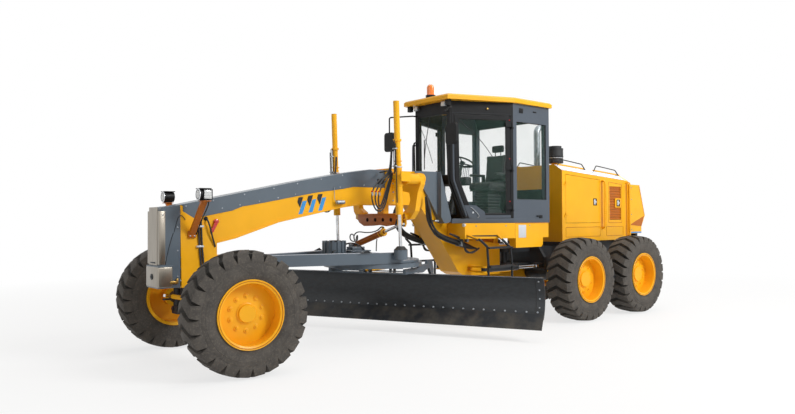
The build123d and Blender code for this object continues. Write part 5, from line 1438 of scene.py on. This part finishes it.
class GRADER_OT_tail(bpy.types.Operator):
    """Add the tail's grille, lamps, stripe, seams, bolts and tow eye"""
    bl_idname = "grader.tail"
    bl_label = "Tail"

    def execute(self, context):
        panel = plate([(tail_face(z) - 1, y, z) for y, z in ((-470, 1760), (470, 1760), (470, 2200), (-470, 2200))],
                      (-4, 0, -1.2), 1)
        finished(panel, "tail_grille_panel", "rear", "black")
        slats = [hose([(tail_face(z) - 12, -462, z), (tail_face(z) - 12, 462, z)], 10, 8)
                 for z in spaced(1785, 2175, 34)]
        slats += [hose([(tail_face(z) - 14, y, z) for z in (1762, 2198)], 9, 8) for y in (-466, -155, 155, 466)]
        finished(slats, "tail_grille_slats", "rear", "dark")
        cans, reds, ambers = [], [], []
        for z, lenses in ((2120, reds), (1990, ambers)):
            x = tail_face(z)
            cans.append(turned((x + 4, 552, z), (-1, 0, -0.3), [(0, 54), (24, 54), (28, 50), (22, 46)], 28))
            lenses.append(turned((x - 16, 552, z - 6), (-1, 0, -0.3), [(0, 46), (6, 45), (12, 34), (14, 16)], 28))
        sided(cans, "tail_lamp_housings", "rear", "black")
        sided(reds, "tail_lamps_red", "rear", "red")
        sided(ambers, "tail_lamps_amber", "rear", "amber")
        sided(block((-4512, -4140), (TAIL_SIDE, TAIL_SIDE + 3), (1352, 1378), 1), "tail_stripe", "rear", "blue")
        seams = [side_plate([(-4440, 2240), (-4452, 2240), (-4630, 1690), (-4618, 1690)], TAIL_SIDE, TAIL_SIDE + 4, 1),
                 side_plate([(-4160, 1520), (-4160, 1500), (-4520, 1480), (-4610, 1668), (-4600, 1672)],
                            TAIL_SIDE, TAIL_SIDE + 3, 1)]
        sided(seams, "tail_side_seams", "rear", "orange")
        heads = bolts([(-4180, TAIL_SIDE + 1, z) for z in (1420, 1700, 1980, 2200)], LEFT, 9)
        sided(heads, "tail_bolts", "rear", "steel")
        eye = turned((-4560, 0, 1400), (-1, 0, 0), [(0, 40), (20, 40), (24, 30), (24, 18), (4, 16)], 24)
        finished([block((-4560, -4480), (-90, 90), (1360, 1440), 8), eye], "tail_tow_eye", "rear", "dark")
        return {"FINISHED"}


class GRADER_OT_underside(bpy.types.Operator):
    """Add the lids between the tandem wheels, with their bolts"""
    bl_idname = "grader.underside"
    bl_label = "Underside"

    def execute(self, context):
        side = Vector(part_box("tandem_cases")[1]).y / MM
        middle = sum(TANDEM_X) / 2
        lid = turned((middle, side, AXLE_Z), LEFT, [(-4, 120), (4, 120), (8, 112)], 36)
        heads = bolts([(middle + x, side + 7, AXLE_Z + z) for x, z in round_places(8, 98)], LEFT, 9)
        sided([lid, heads], "tandem_lids", "rear", "dark")
        return {"FINISHED"}


# ---------------------------------------------------------------- stage
def make_stage():
    """Pale floor that fades into a white backdrop, with soft lamps."""
    fresh()
    bpy.ops.mesh.primitive_plane_add(size=400, location=(0, 0, 0))
    floor = bpy.context.object
    bpy.ops.object.transform_apply(location=True, rotation=True, scale=True)
    floor.name = "studio_floor"
    material, tree, shader, place = new_material("Studio_floor_pale")
    tree.nodes.remove(shader)
    output = next(n for n in tree.nodes if n.type == "OUTPUT_MATERIAL")
    diffuse = add(tree, "ShaderNodeBsdfDiffuse", {"Color": linear("F2F2F1")})
    white = add(tree, "ShaderNodeEmission", {"Color": linear("FFFFFF"), "Strength": 1.0})
    distance = add(tree, "ShaderNodeVectorMath", {0: place}, operation="LENGTH").outputs["Value"]
    path = add(tree, "ShaderNodeLightPath")
    seen = maths(tree, "MAXIMUM", path.outputs["Is Camera Ray"], path.outputs["Is Glossy Ray"])
    share = between(tree, distance, 4.0, 13.0, 0.72, 1.0)
    mix = add(tree, "ShaderNodeMixShader", {0: maths(tree, "MULTIPLY", share, seen), 1: diffuse.outputs[0],
                                            2: white.outputs[0]})
    tree.links.new(mix.outputs[0], output.inputs["Surface"])
    floor.data.materials.append(material)

    world = bpy.data.worlds.new("Studio")
    bpy.context.scene.world = world
    world.use_nodes = True
    tree = world.node_tree
    tree.nodes.clear()
    path = add(tree, "ShaderNodeLightPath")
    seen = maths(tree, "MAXIMUM", path.outputs["Is Camera Ray"], maths(
        tree, "MAXIMUM", path.outputs["Is Glossy Ray"], path.outputs["Is Transmission Ray"]))
    light = add(tree, "ShaderNodeBackground", {"Color": linear("F4EFEA"), "Strength": 0.32})
    backdrop = add(tree, "ShaderNodeBackground", {"Color": linear("FFFFFF"), "Strength": 1.0})
    mix = add(tree, "ShaderNodeMixShader", {0: seen, 1: light.outputs[0], 2: backdrop.outputs[0]})
    add(tree, "ShaderNodeOutputWorld", {"Surface": mix.outputs[0]})

    # name, place, target, size and power of each soft lamp
    lamps = (
        ("key_side", (-4.0, 15.0, 11.0), (0.0, 0.0, 1.2), 6.0, bpy.context.scene.grader_sizes.key_power),
        ("fill_front", (16.0, 4.0, 6.0), (1.0, 0.0, 1.2), 8.0, 260.0),
        ("top_sky", (-2.0, 1.0, 14.0), (0.0, 0.0, 0.0), 12.0, 700.0),
        ("fill_rear", (-14.0, -6.0, 7.0), (0.0, 0.0, 1.2), 8.0, 500.0),
    )
    for name, spot, target, size, power in lamps:
        data = bpy.data.lights.new(name, "AREA")
        data.size = size
        data.energy = power
        lamp = bpy.data.objects.new(name, data)
        bpy.context.scene.collection.objects.link(lamp)
        lamp.location = spot
        lamp.rotation_euler = (Vector(target) - Vector(spot)).to_track_quat("-Z", "Y").to_euler()


def make_camera():
    """Camera low on the machine's front left quarter."""
    data = bpy.data.cameras.new("camera")
    data.lens = 31.0
    data.shift_x = 0.003
    data.shift_y = -0.001
    camera = bpy.data.objects.new("camera", data)
    bpy.context.scene.collection.objects.link(camera)
    yaw, pitch, roll = radians(-129.580), radians(0.982), radians(-0.283)
    ahead = Vector((cos(pitch) * cos(yaw), cos(pitch) * sin(yaw), sin(pitch)))
    right = ahead.cross(Vector(UP)).normalized()
    up = right.cross(ahead)
    right, up = cos(roll) * right + sin(roll) * up, cos(roll) * up - sin(roll) * right
    camera.matrix_world = Matrix.Translation((7.350, 7.667, 1.656)) @ Matrix((right, up, -ahead)).transposed().to_4x4()
    bpy.context.scene.camera = camera
    bpy.context.scene.view_settings.view_transform = "Standard"


class GRADER_OT_finishes(bpy.types.Operator):
    """Make the finishes and give them to the frame's own pieces"""
    bl_idname = "grader.finishes"
    bl_label = "Finishes"

    def execute(self, context):
        make_finishes()
        finish_nodes()
        return {"FINISHED"}


class GRADER_OT_stage(bpy.types.Operator):
    """Add the floor, the lamps and the camera"""
    bl_idname = "grader.stage"
    bl_label = "Stage"

    def execute(self, context):
        make_stage()
        make_camera()
        return {"FINISHED"}


# ---------------------------------------------------------------- panel and registration
OPERATORS = (
    GRADER_OT_finishes, GRADER_OT_tyres, GRADER_OT_rims, GRADER_OT_beam, GRADER_OT_nose, GRADER_OT_front_lamps,
    GRADER_OT_saddle, GRADER_OT_lift_cylinders, GRADER_OT_centre_shift, GRADER_OT_drawbar, GRADER_OT_blade,
    GRADER_OT_cab_doors, GRADER_OT_cab, GRADER_OT_seat, GRADER_OT_controls, GRADER_OT_platform,
    GRADER_OT_neck_hoses, GRADER_OT_hood, GRADER_OT_tail, GRADER_OT_underside, GRADER_OT_stage,
)


class GRADER_PT_panel(bpy.types.Panel):
    """Lists the pieces of the motor grader"""
    bl_idname = "GRADER_PT_panel"
    bl_label = "Motor grader"
    bl_space_type = "VIEW_3D"
    bl_region_type = "UI"
    bl_category = "Grader"

    def draw(self, context):
        for group in (context.scene.grader_colours, context.scene.grader_sizes):
            column = self.layout.column(align=True)
            for name in group.__annotations__:
                column.prop(group, name)
        column = self.layout.column(align=True)
        for operator in OPERATORS:
            column.operator(operator.bl_idname)


CLASSES = (GRADER_PG_colours, GRADER_PG_sizes) + OPERATORS + (GRADER_PT_panel,)


def register():
    for kind in CLASSES:
        bpy.utils.register_class(kind)
    bpy.types.Scene.grader_colours = bpy.props.PointerProperty(type=GRADER_PG_colours)
    bpy.types.Scene.grader_sizes = bpy.props.PointerProperty(type=GRADER_PG_sizes)


def unregister():
    del bpy.types.Scene.grader_colours
    del bpy.types.Scene.grader_sizes
    for kind in reversed(CLASSES):
        bpy.utils.unregister_class(kind)


def main():
    """Builds everything in order."""
    register()
    for operator in OPERATORS:
        getattr(bpy.ops.grader, operator.bl_idname.split(".")[1])()


if __name__ == "__main__":
    main()
